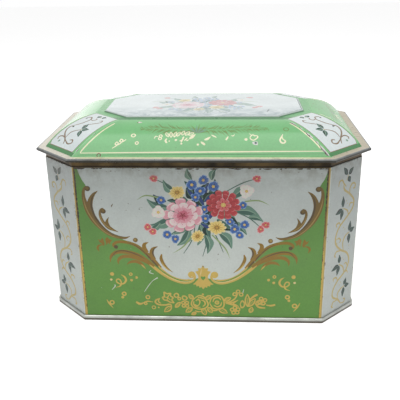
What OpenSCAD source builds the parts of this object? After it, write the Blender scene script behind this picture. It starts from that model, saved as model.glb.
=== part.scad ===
// Hinged casket tin: an eight-sided tinplate box with a vaulted lid on two hinges at the back.
// Millimetres. The origin is on the table under the middle of the body, the front faces -Y, +Z is up.

/* [Body] */
// Length of the body from end to end
body_l = 200; // [160:1:260]
// Depth of the body from front to back
body_d = 137; // [120:1:180]
// Height of the wall's top edge above the table
body_h = 106; // [70:1:160]
// How far each cut corner runs along the two walls beside it
corner_cut = 22.5; // [16:0.5:30]
// Width of the lock seam that closes the wall at the back
lock_w = 5; // [3:0.5:8]
// Width of the groove that the lock seam leaves outside
lock_groove = 0.6; // [0.3:0.1:1]
// Air between the lock seam and the pieces above and below it
lock_gap = 0.6; // [0.3:0.1:2]

/* [Tinplate] */
// Thickness of the sheet
sheet = 0.4; // [0.3:0.02:0.5]
// Air between two layers of sheet that lie on each other
fold_gap = 0.05; // [0.03:0.01:0.08]
// Inside radius of the innermost layer at an upright corner
core_r = 0.15; // [0.1:0.05:2]

/* [Base] */
// Height of the double seam round the bottom edge
seam_h = 3.6; // [3:0.1:6]
// Size of the bevels that break the seam's outer edges
seam_bevel = 0.4; // [0.2:0.05:0.5]
// Height of the base panel's upper face above the table
base_rise = 4.4; // [3.4:0.1:8]
// Distance of the stiffening step from the wall
step_inset = 13; // [8:0.5:20]
// Height of the stiffening step
step_h = 1.2; // [0.8:0.1:2]
// Radius of the stiffening step's corners
step_r = 4; // [2:0.5:6]

/* [Neck] */
// Height of neck that shows between the wall and the lid's rim
neck_show = 4.2; // [3:0.1:10]
// How far the neck collar reaches down inside the wall
neck_tuck = 12; // [6:0.5:25]
// Air between the collar's hem and the closed lid
lid_gap = 0.3; // [0.2:0.05:1]
// Air inside the collar's hem
hem_air = 0.4; // [0.2:0.1:1]
// Height of the hem
hem_l = 3; // [1:0.5:5]

/* [Lid] */
// How far the rolled edge stands out past the wall
lid_overhang = 4.6; // [3.5:0.1:7]
// Radius of the rolled edge
roll_r = 1.1; // [0.9:0.05:1.6]
// Width of the flat brim with its rolled edge
brim_w = 5.5; // [4:0.1:8]
// Air between the rim wire and the sheet rolled round it
wire_gap = 0.1; // [0.06:0.01:0.2]
// Rise of the vaulted panels above the brim
dome_rise = 15.6; // [10:0.2:26]
// Width of the front and back vaults, seen from above
vault_side = 30.5; // [24:0.5:36]
// Width of the end vaults, seen from above
vault_end = 31; // [24:0.5:36]
// Width of the corner vaults, seen from above
vault_corner = 41; // [36:0.5:44]
// Width of the flat ring round the top panel
ring_w = 2; // [1:0.5:5]
// Height of the top panel above that ring
panel_lift = 1.2; // [0.5:0.1:2]

/* [Hinges] */
// Distance between the middles of the two hinges
hinge_spread = 92; // [60:1:110]
// Length of each hinge along the back
hinge_l = 22; // [16:0.5:30]
// Length of the lid leaf's knuckle
knuckle_l = 9.4; // [5:0.1:10]
// Air between neighbouring knuckles
knuckle_gap = 0.3; // [0.2:0.05:0.6]
// Radius of the hinge pin
pin_r = 0.8; // [0.6:0.05:1]
// Running clearance round the pin
pin_clearance = 0.05; // [0.03:0.01:0.1]
// Radius of the pin's peened ends
pin_head_r = 1.1; // [1:0.05:1.4]
// Thickness of the pin's peened ends
pin_head_t = 0.5; // [0.3:0.1:1]
// Air between the lid's rolled edge and the knuckles
roll_gap = 0.3; // [0.25:0.05:1]
// Opening angle at which the leaves meet and stop the lid
stop_angle = 110; // [108:1:122]
// Length of the lid leaf's tab on the brim
tab_l = 3; // [2:0.1:4]
// Height of the body leaf's plate on the wall
plate_h = 12; // [8:0.5:20]
// Size of the clipped corners at that plate's lower end
plate_clip = 3; // [1:0.5:6]
// Height of the body leaf between its crank and its stop edge
crank_drop = 1; // [0.5:0.1:3]
// Inside radius of the crank's bends
crank_r = 1; // [0.5:0.1:2]

/* [Hidden] */
$fn = 64;

// Length by which parts of one sheet that are drawn apart overlap, and cuts run past what they cut
lap = 0.5;

// Height by which the vaults' arcs would rise past the ring that cuts them off
crest = 0.1;

// Angles of the eight-sided plan, of the hinge's crank and of the flats that bends are made of
side_turn = 45;
crank_turn = 45;
bend_flat = 30;
corner_flat = 15;
mitre = tan(side_turn / 2);
past_all = 2 * (body_l + body_d);

// Layers of sheet at a wall, measured outwards from a line inside it that the corners turn about
layer = sheet + fold_gap;
corner_r = core_r + 3 * sheet + fold_gap + hem_air;
wall_in = corner_r - sheet;
lining = wall_in - fold_gap;
hook_out = corner_r + 2 * layer;
seam_out = corner_r + 3 * layer;

// Heights and reaches of the lid; a reach is measured outwards from the face of the wall
brim_z = body_h + neck_show + 2 * roll_r - sheet;
brim_top = brim_z + sheet;
ring_z = brim_top + dome_rise;
roll_z = brim_top - roll_r;
roll_reach = lid_overhang - roll_r;
wire_r = roll_r - sheet - wire_gap;
foot_reach = lid_overhang - brim_w;

// Neck collar
collar_low = body_h - neck_tuck;
collar_top = brim_z - lid_gap;

// Hinge axis and leaves
bore_r = pin_r + pin_clearance;
knuckle_r = bore_r + sheet;
hinge_y = body_d / 2 + lid_overhang + layer - knuckle_r;
hinge_z = roll_z - roll_r - roll_gap - knuckle_r;
stop_rise = knuckle_r * tan(stop_angle / 2);
crank_bends = 2 * crank_r + sheet;
crank_l = (lid_overhang - crank_bends * (1 - cos(crank_turn))) / sin(crank_turn);
crank_h = crank_bends * sin(crank_turn) + crank_l * cos(crank_turn);
plate_z = hinge_z - stop_rise - crank_drop - crank_h - plate_h;

// Plan coordinate to the nearest micrometre
function micron(v) = round(v * 1000) / 1000;

// The plan's eight corners, anticlockwise, with every side moved outwards by the reach
function octagon(reach) =
  let (x = micron(body_l / 2 + reach))
  let (y = micron(body_d / 2 + reach))
  let (cut = micron(corner_cut + 2 * reach - sqrt(2) * reach))
  [
    [x, y - cut], [x - cut, y], [cut - x, y], [-x, y - cut],
    [-x, cut - y], [cut - x, -y], [x - cut, -y], [x, cut - y]
  ];

// Distance of the cut corners' faces from the middle of the plan
function corner_side(reach) = (body_l / 2 + body_d / 2 - corner_cut) / sqrt(2) + reach;

// The octagon at the reach, moved outwards by r with its corners bent round in flats
function outline(reach, r) =
  let (line = octagon(reach))
  [for (k = [0:7]) for (a = [0:corner_flat:side_turn])
    line[k] + r * [cos(side_turn * k + a), sin(side_turn * k + a)]];

// Points along one face of a bent strip, which lies the offset to the left of its base line.
// Each step is a straight length, a turn and that turn's inside radius; a left turn is positive.
function strip_face(steps, offset, at = [0, 0], heading = 0, k = 0) =
  k == len(steps) ? [] :
  let (run = steps[k][0], turn = steps[k][1], r = steps[k][2])
  let (end = at + run * [cos(heading), sin(heading)])
  let (pivot_side = turn > 0 ? sheet + r : -r)
  let (pivot = end + pivot_side * left(heading))
  let (flats = ceil(abs(turn) / bend_flat))
  let (reach = turn == 0 ? offset - pivot_side : (offset - pivot_side) / cos(turn / flats / 2))
  concat(
    turn == 0 ? [end + offset * left(heading)] : [],
    [for (i = [1:1:flats]) pivot + reach * left(heading + turn * (i - 1 / 2) / flats)],
    strip_face(steps, offset, pivot - pivot_side * left(heading + turn), heading + turn, k + 1)
  );

// Unit vector to the left of a heading
function left(heading) = [-sin(heading), cos(heading)];

// The list from its last entry to its first
function reverse(list) = [for (i = [len(list) - 1:-1:0]) list[i]];

// Bent strip of sheet in section. It starts along +X with its thickness on the left.
module bent_strip(steps) {
  polygon(concat([[0, 0]], strip_face(steps, 0), reverse(strip_face(steps, sheet)), [[0, sheet]]));
}

// Carries a section round the eight sides; its X is measured outwards from the octagon at the reach.
// Each side runs straight between its two corners, and each corner turns about its point.
module around(reach) {
  line = octagon(reach);
  for (k = [0:7]) {
    start = line[(k + 7) % 8];
    end = line[k];
    out = past_all * [round(cos(side_turn * k)), round(sin(side_turn * k))];
    intersection() {
      translate(start) rotate([90, 0, side_turn * k]) linear_extrude(past_all, center = true) children();
      linear_extrude(past_all, center = true) polygon([start - out, end - out, end + out, start + out]);
    }
    translate(end) rotate(side_turn * k) rotate_extrude(angle = side_turn) children();
  }
}

// Band of sheet round the plan between two distances from the octagon at the reach
module ring(reach, inner, outer, low, top) {
  translate([0, 0, low]) linear_extrude(top - low) difference() {
    polygon(outline(reach, outer));
    polygon(outline(reach, inner));
  }
}

// Section carried straight across the plan, with its X towards the angle
module across(angle) {
  rotate([90, 0, angle]) linear_extrude(past_all, center = true) children();
}

// Solid between two heights whose sides follow a section all round the plan and meet in mitres.
// The section reads its half width and the width of its vault from $half and $run.
module mitred(reach, low, top) {
  intersection() {
    across(0) let ($half = body_l / 2 + reach, $run = vault_end) children();
    across(90) let ($half = body_d / 2 + reach, $run = vault_side) children();
    across(side_turn) let ($half = corner_side(reach), $run = vault_corner) children();
    across(-side_turn) let ($half = corner_side(reach), $run = vault_corner) children();
    translate([0, 0, low]) linear_extrude(top - low) square(past_all, center = true);
  }
}

// Section of the vaults about the height of the brim: an arc on each side of a middle part.
// The inset moves the outline inwards to the underside of the sheet.
module vault(inset) {
  edge = $half - $run;
  rise = dome_rise + crest;
  r = ($run * $run + rise * rise) / (2 * rise);
  low = -2 * layer;
  translate([-edge, low]) square([2 * edge, rise - inset - low]);
  for (m = [0, 1]) {
    mirror([m, 0]) intersection() {
      translate([edge, rise - r]) circle(r - inset);
      translate([edge - lap, low]) square([2 * $run, rise - low]);
    }
  }
}

// Section of the raised panel about the height of the ring round it
module panel(inset) {
  foot = $half - $run - ring_w - inset * mitre;
  wide = foot + lap;
  narrow = foot - panel_lift - lap;
  high = panel_lift + lap;
  polygon([[-wide, -lap], [wide, -lap], [narrow, high], [-narrow, high]]);
}

// Eight vaults meeting at their creases, under the raised panel
module dome(inset) {
  translate([0, 0, brim_top]) {
    mitred(foot_reach, -sheet / 2 - inset, dome_rise - inset) vault(inset);
    translate([0, 0, dome_rise - inset]) mitred(foot_reach, -lap, panel_lift) panel(inset);
  }
}

// Section across a slab with a rolled edge of radius r, about the height of the roll's middle.
// It ends at the far side of the roll (1) or at its near side (-1).
module roll_side(r, side) {
  steepest = 90 - bend_flat / 2;
  corner = [for (a = [steepest:-bend_flat:-steepest]) r / cos(bend_flat / 2) * [side * cos(a), sin(a)]];
  last = len(corner) - 1;
  chain = concat([2 * corner[0] - corner[1]], corner, [2 * corner[last] - corner[last - 1]]);
  polygon(concat(
    [for (p = chain) [$half + p[0], p[1]]],
    [for (p = reverse(chain)) [-$half - p[0], p[1]]]
  ));
}

// The same all round the plan; what ends at the near side goes from below the roll to past its middle
module rolled(r, side) {
  translate([0, 0, roll_z])
    mitred(roll_reach, side > 0 ? -r : -r - fold_gap, side > 0 ? r : fold_gap) roll_side(r, side);
}

// Printed wall: one strip folded to an octagon, lock-seamed at the back, hooked into the base seam
module body_band() {
  lock_low = base_rise + step_h + lock_gap;
  lock_top = collar_low - lock_gap;
  color("olivedrab") difference() {
    union() {
      ring(-corner_r, wall_in, corner_r, layer, body_h);
      ring(-corner_r, wall_in, hook_out, layer, layer + sheet);
      ring(-corner_r, hook_out - sheet, hook_out, layer, seam_h - layer);
      translate([-lock_w / 2, body_d / 2 - 3 * sheet, lock_low])
        cube([lock_w, 2.5 * sheet, lock_top - lock_low]);
    }
    translate([-lock_groove / 2, body_d / 2 - sheet / 2, lock_low])
      cube([lock_groove, sheet, lock_top - lock_low]);
  }
}

// Lacquered neck inside the wall, hemmed at its top edge
module neck_collar() {
  hem = lining - sheet - hem_air;
  color("darkgoldenrod") union() {
    ring(-corner_r, lining - sheet, lining, collar_low, collar_top);
    ring(-corner_r, hem - sheet, lining, collar_top - sheet, collar_top);
    ring(-corner_r, hem - sheet, hem, collar_top - hem_l, collar_top);
  }
}

// Section across the seam that bevels its upper and lower outer edges
module bevels() {
  over = 2 * lap;
  wide = $half + over;
  low = $half - seam_bevel - over;
  high = base_rise + step_h + over;
  tip = $half - seam_bevel - (high - seam_h);
  polygon([
    [-low, -over], [low, -over], [wide, seam_bevel + over], [wide, seam_h - seam_bevel - over],
    [tip, high], [-tip, high], [-wide, seam_h - seam_bevel - over], [-wide, seam_bevel + over]
  ]);
}

// Base: double seam round the wall's hook, countersunk panel and stiffening step
module base_plate() {
  hook = corner_r + fold_gap;
  step_line = -step_inset - step_r;
  step_top = base_rise + step_h;
  color("gainsboro") intersection() {
    union() {
      ring(-corner_r, hook, hook + sheet, 2 * layer, seam_h);
      ring(-corner_r, hook, seam_out, seam_h - sheet, seam_h);
      ring(-corner_r, seam_out - sheet, seam_out, 0, seam_h);
      ring(-corner_r, lining - sheet, seam_out, 0, sheet);
      ring(-corner_r, lining - sheet, lining, 0, base_rise);
      translate([0, 0, base_rise - sheet]) linear_extrude(sheet) difference() {
        polygon(outline(-corner_r, lining));
        polygon(outline(step_line, step_r - sheet));
      }
      ring(step_line, step_r - sheet, step_r, base_rise - sheet, step_top);
      translate([0, 0, step_top - sheet]) linear_extrude(sheet) polygon(outline(step_line, step_r));
    }
    mitred(seam_out - corner_r, -lap, step_top + lap) bevels();
  }
}

// Pressed lid: vaults, top panel, brim and an edge rolled under through three quarters of a turn
module lid_shell() {
  color("darkseagreen") difference() {
    union() {
      dome(0);
      rolled(roll_r, 1);
    }
    dome(sheet);
    translate([0, 0, roll_z]) linear_extrude(brim_z - roll_z) polygon(octagon(roll_reach));
    rolled(roll_r, -1);
    difference() {
      rolled(roll_r - sheet, 1);
      rolled(roll_r - sheet, -1);
    }
  }
}

// Wire inside the lid's rolled edge
module lid_rim_wire() {
  bend = wire_r + fold_gap;
  color("silver") translate([0, 0, roll_z]) around(roll_reach - bend) translate([bend, 0]) circle(wire_r);
}

// Section of a hinge leaf carried along the hinge's length, with its X towards the back
module along_hinge(length, shift = 0) {
  translate([shift, 0, 0]) rotate([90, 0, 90]) linear_extrude(length, center = true) children();
}

// Knuckle in section, about the hinge axis: a leaf that comes from above (1) or below (-1) behind the pin,
// rolled round the pin until its edge nearly meets the leaf again
module knuckle(from) {
  mirror([0, from > 0 ? 0 : 1]) union() {
    translate([bore_r, 0]) square([sheet, stop_rise + lap]);
    difference() {
      circle(knuckle_r);
      circle(bore_r);
      translate([bore_r / 2, 0]) square([bore_r / 2, knuckle_r]);
    }
  }
}

// Leaf soldered to the brim; it wraps the rolled edge and ends in the middle knuckle
module lid_leaf() {
  roll_y = body_d / 2 + roll_reach;
  wrap_r = roll_r + fold_gap;
  color("silver") union() {
    along_hinge(hinge_l) translate([roll_y - tab_l, brim_top + fold_gap])
      bent_strip([[tab_l, -90, wrap_r], [roll_z - hinge_z - stop_rise, 0, 0]]);
    along_hinge(knuckle_l) translate([hinge_y, hinge_z]) knuckle(1);
  }
}

// Outline of the body leaf seen from behind, clipped at its lower corners
module leaf_outline() {
  x = hinge_l / 2;
  clip_x = x - plate_clip;
  clip_z = plate_z + plate_clip;
  polygon([[x, clip_z], [x, brim_top], [-x, brim_top], [-x, clip_z], [-clip_x, plate_z], [clip_x, plate_z]]);
}

// Leaf soldered to the back wall; it cranks out past the rim and ends in the two outer knuckles
module body_leaf() {
  outer_l = (hinge_l - knuckle_l) / 2 - knuckle_gap;
  color("silver") intersection() {
    union() {
      along_hinge(hinge_l) translate([body_d / 2 + layer, plate_z]) rotate(90) bent_strip([
        [plate_h, -crank_turn, crank_r],
        [crank_l, crank_turn, crank_r],
        [crank_drop, 0, 0]
      ]);
      for (side = [-1, 1]) {
        along_hinge(outer_l, side * (hinge_l - outer_l) / 2) translate([hinge_y, hinge_z]) knuckle(-1);
      }
    }
    across(0) leaf_outline();
  }
}

// Hinge pin with peened ends
module hinge_pin() {
  head_x = hinge_l / 2 + fold_gap;
  color("dimgray") translate([0, hinge_y, hinge_z]) rotate([0, 90, 0]) union() {
    cylinder(r = pin_r, h = 2 * head_x, center = true);
    for (side = [-1, 1]) {
      translate([0, 0, side * (head_x + pin_head_t / 2)])
        cylinder(r = pin_head_r, h = pin_head_t, center = true);
    }
  }
}

// Moves a hinge piece to the left or the right hinge
module at_hinge(side) {
  translate([side * hinge_spread / 2, 0, 0]) children();
}

body_band();
neck_collar();
base_plate();
lid_shell();
lid_rim_wire();
at_hinge(-1) body_leaf();  // hinge_left_body_leaf
at_hinge(-1) lid_leaf();  // hinge_left_lid_leaf
at_hinge(-1) hinge_pin();  // hinge_left_pin
at_hinge(1) body_leaf();  // hinge_right_body_leaf
at_hinge(1) lid_leaf();  // hinge_right_lid_leaf
at_hinge(1) hinge_pin();  // hinge_right_pin
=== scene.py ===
# %% [markdown]
# # A printed tinplate casket
#
# The object is an eight-sided tin with a vaulted, hinged lid, printed in green, white and gold. The metalwork
# arrives finished from the CAD frame. What is left to do here is what the printer and the years did to it: the ink
# on each panel, the lacquer, the bare tin edges and the wear.

# %% Load the frame
import math
import random

import bpy
import numpy as np
from mathutils import Matrix, Vector
from mathutils.geometry import delaunay_2d_cdt


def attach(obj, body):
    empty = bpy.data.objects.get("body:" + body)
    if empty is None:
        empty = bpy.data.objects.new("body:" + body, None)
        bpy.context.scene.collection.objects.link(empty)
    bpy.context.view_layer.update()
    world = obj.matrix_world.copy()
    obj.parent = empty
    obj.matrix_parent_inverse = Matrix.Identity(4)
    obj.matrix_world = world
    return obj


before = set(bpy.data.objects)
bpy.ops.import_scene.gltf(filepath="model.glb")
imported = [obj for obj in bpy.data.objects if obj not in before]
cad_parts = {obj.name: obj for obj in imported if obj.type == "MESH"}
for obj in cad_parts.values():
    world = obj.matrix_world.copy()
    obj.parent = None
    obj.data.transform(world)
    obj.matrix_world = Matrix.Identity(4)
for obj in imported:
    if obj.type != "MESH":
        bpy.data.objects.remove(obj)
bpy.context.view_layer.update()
bpy.ops.object.select_all(action="DESELECT")
scene = bpy.context.scene
MM = 0.001

# %% [markdown]
# ## The camera
#
# The photograph was taken from a little above and a little to the right, with a normal lens. Its place and turn
# were found by fitting the tin's own corners, so they are written here as plain angles.

# %% Camera
TURN, TILT, LEAN = -3.384, 21.261, -0.953  # degrees
STAND = (20.455, -417.206, 221.154)  # mm
SENSOR, LENS = 36, 55.49  # mm
yaw, pitch, roll = (math.radians(angle) for angle in (TURN, TILT, LEAN))
ahead = Vector((math.sin(yaw) * math.cos(pitch), math.cos(yaw) * math.cos(pitch), -math.sin(pitch)))
level = Vector((math.cos(yaw), -math.sin(yaw), 0))
upright = level.cross(ahead)
right = level * math.cos(roll) + upright * math.sin(roll)
up = upright * math.cos(roll) - level * math.sin(roll)
bpy.ops.object.camera_add()
camera = bpy.context.object
camera.data.sensor_width, camera.data.lens = SENSOR, LENS
stand = Vector(STAND) * MM
camera.matrix_world = Matrix.Translation(stand) @ Matrix((right, up, -ahead)).transposed().to_4x4()
scene.camera = camera
print("camera at", [round(c / MM) for c in stand], "mm, lens", camera.data.lens)

# %% [markdown]
# ## Node helper and colours
#
# Inks are matched in sRGB hex, and Blender works in linear light, so one function converts them. Every node
# of every material is added by one other function. What it is given for an input is set if it is a value or a hex
# colour, and linked if it is a node or one of its sockets. A node that is handed over whole stands for its first
# live output. The shader that a new material starts with is fed in the same way.


# %% Colours
def linear(code):
    """An sRGB hex colour as linear red, green, blue and alpha."""
    parts = [int(code[i:i + 2], 16) / 255 for i in (1, 3, 5)]
    return [c / 12.92 if c <= 0.04045 else ((c + 0.055) / 1.055) ** 2.4 for c in parts] + [1.0]


print("mid grey is", [round(c, 3) for c in linear("#808080")])


# %% Nodes
def feed(tree, node, inputs):
    """Sets or links these inputs of a node."""
    for key, value in inputs.items():
        if isinstance(value, bpy.types.Node):
            value = next(socket for socket in value.outputs if socket.enabled)
        if isinstance(value, bpy.types.NodeSocket):
            tree.links.new(value, node.inputs[key])
        else:
            node.inputs[key].default_value = linear(value) if isinstance(value, str) else value


def add(tree, kind, inputs=None, **settings):
    """A shader node of this kind, with its settings, values and links."""
    node = tree.nodes.new("ShaderNode" + kind)
    for name, value in settings.items():
        setattr(node, name, value)
    feed(tree, node, inputs or {})
    return node


def new_material(name):
    """A material, its node tree and the principled shader in it."""
    material = bpy.data.materials.new(name)
    material.use_nodes = True
    return material, material.node_tree, material.node_tree.nodes["Principled BSDF"]


print("helpers ready:", feed.__name__, add.__name__, new_material.__name__)

# %% [markdown]
# ## Floor and backdrop
#
# The photograph is cut out on white. A wide pale floor keeps the shadow under the tin, and a little extra white for
# what the camera sees lifts it to paper white. More light would do it too, but it would bleach the tin. The Light
# Path node tells which rays those are: straight from the camera, or by way of a mirror or glass.


# %% Floor
def seen_rays(tree):
    """1 for rays that the eye follows, straight or by way of a mirror or glass, and 0 for light."""
    path = add(tree, "LightPath")
    seen = add(tree, "Math", {0: path.outputs["Is Camera Ray"], 1: path.outputs["Is Glossy Ray"]},
               operation="MAXIMUM")
    return add(tree, "Math", {0: seen, 1: path.outputs["Is Transmission Ray"]}, operation="MAXIMUM")


bpy.ops.mesh.primitive_plane_add(size=6, location=(0, 0, -0.00005))
floor = bpy.context.object
floor.name = "floor"
bpy.ops.object.transform_apply(location=True, rotation=True, scale=True)
paper, tree, shader = new_material("matt_white_paper")
lift = add(tree, "Math", {0: seen_rays(tree), 1: 0.78}, operation="MULTIPLY")
feed(tree, shader, {
    "Base Color": "#D8D8D8", "Roughness": 0.9, "Specular IOR Level": 0.1,
    "Emission Color": (1, 1, 1, 1), "Emission Strength": lift,
})
floor.data.materials.append(paper)
print("floor of", paper.name)

# %% [markdown]
# ## Light
#
# A large soft box overhead and an even sky give the lid the full level and the walls less, as in the photograph. A
# pale strip of card by the front foot throws a little warm light up the wall, and a second card far behind to the
# left is mirrored in the lid's left end as a glare. The camera sees neither card.

# %% World
world = bpy.data.worlds.new("studio")
scene.world = world
world.use_nodes = True
tree = world.node_tree
strength = add(tree, "MapRange", {0: seen_rays(tree), 3: 0.21, 4: 1.0})
feed(tree, tree.nodes["Background"], {"Color": (1, 1, 1, 1), "Strength": strength})
scene.view_settings.view_transform = "Standard"
print("sky:", scene.world.name)


# %% Soft box and cards
def area_light(place, aim, width, depth, watts):
    """A rectangle of light, in metres, turned towards a point."""
    bpy.ops.object.light_add(type="AREA", location=place)
    lamp = bpy.context.object
    lamp.data.shape = "RECTANGLE"
    lamp.data.size, lamp.data.size_y, lamp.data.energy = width, depth, watts
    lamp.rotation_euler = (Vector(aim) - lamp.location).to_track_quat("-Z", "Y").to_euler()
    print("light of", watts, "W at", place)
    return lamp


area_light((0.04, -0.2, 1.0), (0, 0, 0.08), 1.2, 0.9, 8.9)
foot_card = area_light((0, -0.17, 0.012), (0, -0.068, 0.02), 0.36, 0.02, 0.07)
foot_card.data.color = linear("#FFFAF0")[:3]
foot_card.visible_camera = foot_card.visible_glossy = False
glare_card = area_light((-0.46, 1.2, 0.18), (0, 0, 0.12), 0.55, 0.34, 0.36)
glare_card.visible_camera = False

# %% [markdown]
# ## Inks
#
# Sheet metal was printed flat, before it was cut and folded: a white ground, then the flat colours, then gold.
# These are the colours of the dry inks, a little yellowed. The lid has caught more light and dust than the walls
# and its green is paler and bluer.

# %% Ink colours
INK = {"wall white": "#C6CECB", "wall green": "#609142", "rust": "#40362A", "brown": "#6A5638",
       "bare tin": "#D5D6D0", "gold": "#C8AC58", "pale gold": "#DCC58C", "lit gold": "#A1884A",
       "old gold": "#78602C", "dark gold": "#57472A", "leaf gold": "#8C6C20", "vine gold": "#C4B272",
       "vine brown": "#86715A", "sprig green": "#003E2F", "sprig dark": "#042A22", "sprig light": "#7FA08C",
       "lid green": "#7DC181", "lid deep green": "#4F8C57", "hip light": "#97CC98", "lid white": "#DFE8E8",
       "top grey": "#C4D2D6", "cream": "#F2ECC8", "olive": "#78985A", "pale olive": "#78AA6E", "red": "#B53C40",
       "deep red": "#852A30", "light red": "#D2686A", "pink": "#DFA0AC", "pale pink": "#EBD3D5", "rose": "#CB6B80",
       "blue": "#4069AC", "deep blue": "#263F7C", "light blue": "#9DBBDF", "yellow": "#E4CB7C", "amber": "#BE9440",
       "petal white": "#E6E6DC", "leaf": "#668B7A", "dark leaf": "#3F6458", "light leaf": "#9BB59F",
       "grass": "#8CA36B",}
print(len(INK), "inks")

# %% [markdown]
# ## Drawing tools
#
# The ornament is drawn as a printer's artist draws it, in millimetres on the flat sheet: brush strokes that swell
# and taper, filled shapes, dots. A brush stroke is a smooth curve through a few points, each with a width. It is
# cut into short four-sided pieces, because small convex pieces can cross each other without harm.


# %% Curves
def flow(points, closed=False, step=0.5):
    """Points along a smooth curve through the given ones, about step mm apart."""
    count = len(points)
    spans = count if closed else count - 1
    out = []
    for i in range(spans):
        four = range(i - 1, i + 3)
        a, b, c, d = (points[j % count if closed else min(max(j, 0), count - 1)] for j in four)
        pieces = max(2, round(math.dist(b[:2], c[:2]) / step))
        for k in range(pieces):
            t = k / pieces
            out.append(tuple(0.5 * (2 * q + (r - p) * t + (2 * p - 5 * q + 4 * r - s) * t ** 2
                                    + (3 * q - p - 3 * r + s) * t ** 3) for p, q, r, s in zip(a, b, c, d)))
    if not closed:
        out.append(points[-1])
    return out


print("a curve of 12 mm has", len(flow([(0, 0), (4, 1), (8, 0), (12, 1)])), "points")


# %% Strokes
def stroke(ink, *points, step=0.5):
    """A brush stroke through points (x, y, width)."""
    line = flow(points, step=step)
    sides = []
    for i, (x, y, width) in enumerate(line):
        (x0, y0, _), (x1, y1, _) = line[max(i - 1, 0)], line[min(i + 1, len(line) - 1)]
        run = math.hypot(x1 - x0, y1 - y0) or 1.0
        half = max(width, 0.08) / 2
        sides.append(((x - (y1 - y0) / run * half, y + (x1 - x0) / run * half),
                      (x + (y1 - y0) / run * half, y - (x1 - x0) / run * half)))
    return [([b[0], a[0], a[1], b[1]], ink) for a, b in zip(sides, sides[1:])]


def line(ink, width, *points, step=0.5):
    """A stroke of even width that tapers a little at both ends."""
    last = len(points) - 1
    widths = [width * (0.55 if i in (0, last) else 1) for i in range(len(points))]
    return stroke(ink, *[(x, y, w) for (x, y), w in zip(points, widths)], step=step)


print("a line of 6 mm takes", len(line("gold", 1, (0, 0), (6, 0))), "pieces")


# %% Shapes and rounds
def patch(ink, *points):
    """A filled outline with straight sides."""
    return [(list(points), ink)]


def shape(ink, *points):
    """A filled outline that is smooth all round."""
    return patch(ink, *flow(points, closed=True))


def dot(ink, x, y, r):
    """A filled round."""
    sides = max(8, round(r * 9))
    turns = [math.tau * i / sides for i in range(sides)]
    return patch(ink, *[(x + r * math.cos(a), y + r * math.sin(a)) for a in turns])


def hoop(ink, x, y, r, width):
    """A round line."""
    turns = [math.tau * i / 12 for i in range(13)]
    return stroke(ink, *[(x + r * math.cos(a), y + r * math.sin(a), width) for a in turns], step=1)


print("a ring of radius 2 takes", len(hoop("gold", 0, 0, 2, 1)), "pieces")


# %% Putting drawings together
def draw(*steps):
    """The art of several steps in order, each a tool and what it is given."""
    return [piece for tool, *given in steps for piece in tool(*given)]


def moved(art, dx=0, dy=0, scale=1, turn=0, flip=False):
    """The same drawing at another place, size and turn."""
    c, s, side = math.cos(turn) * scale, math.sin(turn) * scale, -1 if flip else 1
    return [([(dx + c * x * side - s * y, dy + s * x * side + c * y) for x, y in points], ink) for points,
            ink in art]


def both(art):
    """A drawing and its mirror image about x = 0."""
    return art + moved(art, flip=True)


def set_at(x, y, angle):
    """Turns measures along and across a direction into places on the sheet."""
    c, s = math.cos(angle), math.sin(angle)
    return lambda u, v: (x + c * u - s * v, y + s * u + c * v)


print("a dot and its mirror image are", len(both(dot("gold", 3, 0, 1))), "shapes")

# %% [markdown]
# ## From drawing to printed skin
#
# A print could be an image, but this model carries none, so each panel's ink is a skin a few hundredths of a
# millimetre thick, cut into triangles along every outline of the drawing. The operators can't weave hundreds of
# crossing outlines into one sheet. Blender's own triangulator can, and it tells which shapes cover each triangle:
# the topmost gives the ink, kept as a colour on the mesh.


# %% Topmost shapes
def top_layers(centres, shapes):
    """For each triangle's centre, the number of the topmost shape over it, or -1 off the sheet."""
    order = np.argsort(centres[:, 0])
    sorted_x = centres[order, 0]
    tops = np.full(len(centres), -1)
    for number, points in enumerate(shapes):
        xs, ys = np.array(points).T
        first, last = np.searchsorted(sorted_x, (xs.min(), xs.max()))
        near = order[first:last]
        near = near[(centres[near, 1] > ys.min()) & (centres[near, 1] < ys.max())]
        if number:
            near = near[tops[near] >= 0]
        x, y = centres[near].T
        within = np.zeros(len(near), bool)
        for x0, y0, x1, y1 in zip(xs, ys, np.roll(xs, -1), np.roll(ys, -1)):
            if y0 != y1:
                within ^= ((y0 > y) != (y1 > y)) & (x < (x1 - x0) * (y - y0) / (y1 - y0) + x0)
        tops[near[within]] = number
    return tops


sample = [(0, 0), (4, 0), (4, 4), (0, 4)]
print("inside and outside a square:", top_layers(np.array([(1.0, 2.0), (9.0, 2.0)]), [sample]))

# %% Cutting the sheet
MERGE = 1e-4  # mm, nearer points become one


def cut_sheet(layers, cuts):
    """The sheet cut along every outline: its points, and triangles with the number of their topmost layer."""
    spots, seams = [], list(cuts)
    for points, _ in layers:
        first = len(spots)
        spots += [Vector(p) for p in points]
        seams += [(first + i, first + (i + 1) % len(points)) for i in range(len(points))]
    flat, _, triangles, _, _, _ = delaunay_2d_cdt(spots, seams, [], 0, MERGE)
    centres = np.array([[flat[i] for i in t] for t in triangles]).mean(1)
    tops = top_layers(centres, [points for points, _ in layers])
    inside = [(t, top) for t, top in zip(triangles, tops) if top >= 0]
    used = sorted({i for t, _ in inside for i in t})
    index = {old: new for new, old in enumerate(used)}
    return [flat[i] for i in used], [([index[i] for i in t], top) for t, top in inside]


dotted = [(sample, "gold")] + dot("red", 2, 2, 1)
print("a square with a dot is cut into", len(cut_sheet(dotted, ())[1]), "triangles")

# %% Printed skin
SKIN_LOW, SKIN_TOP = 0.004, 0.034  # mm above the bare metal


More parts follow.
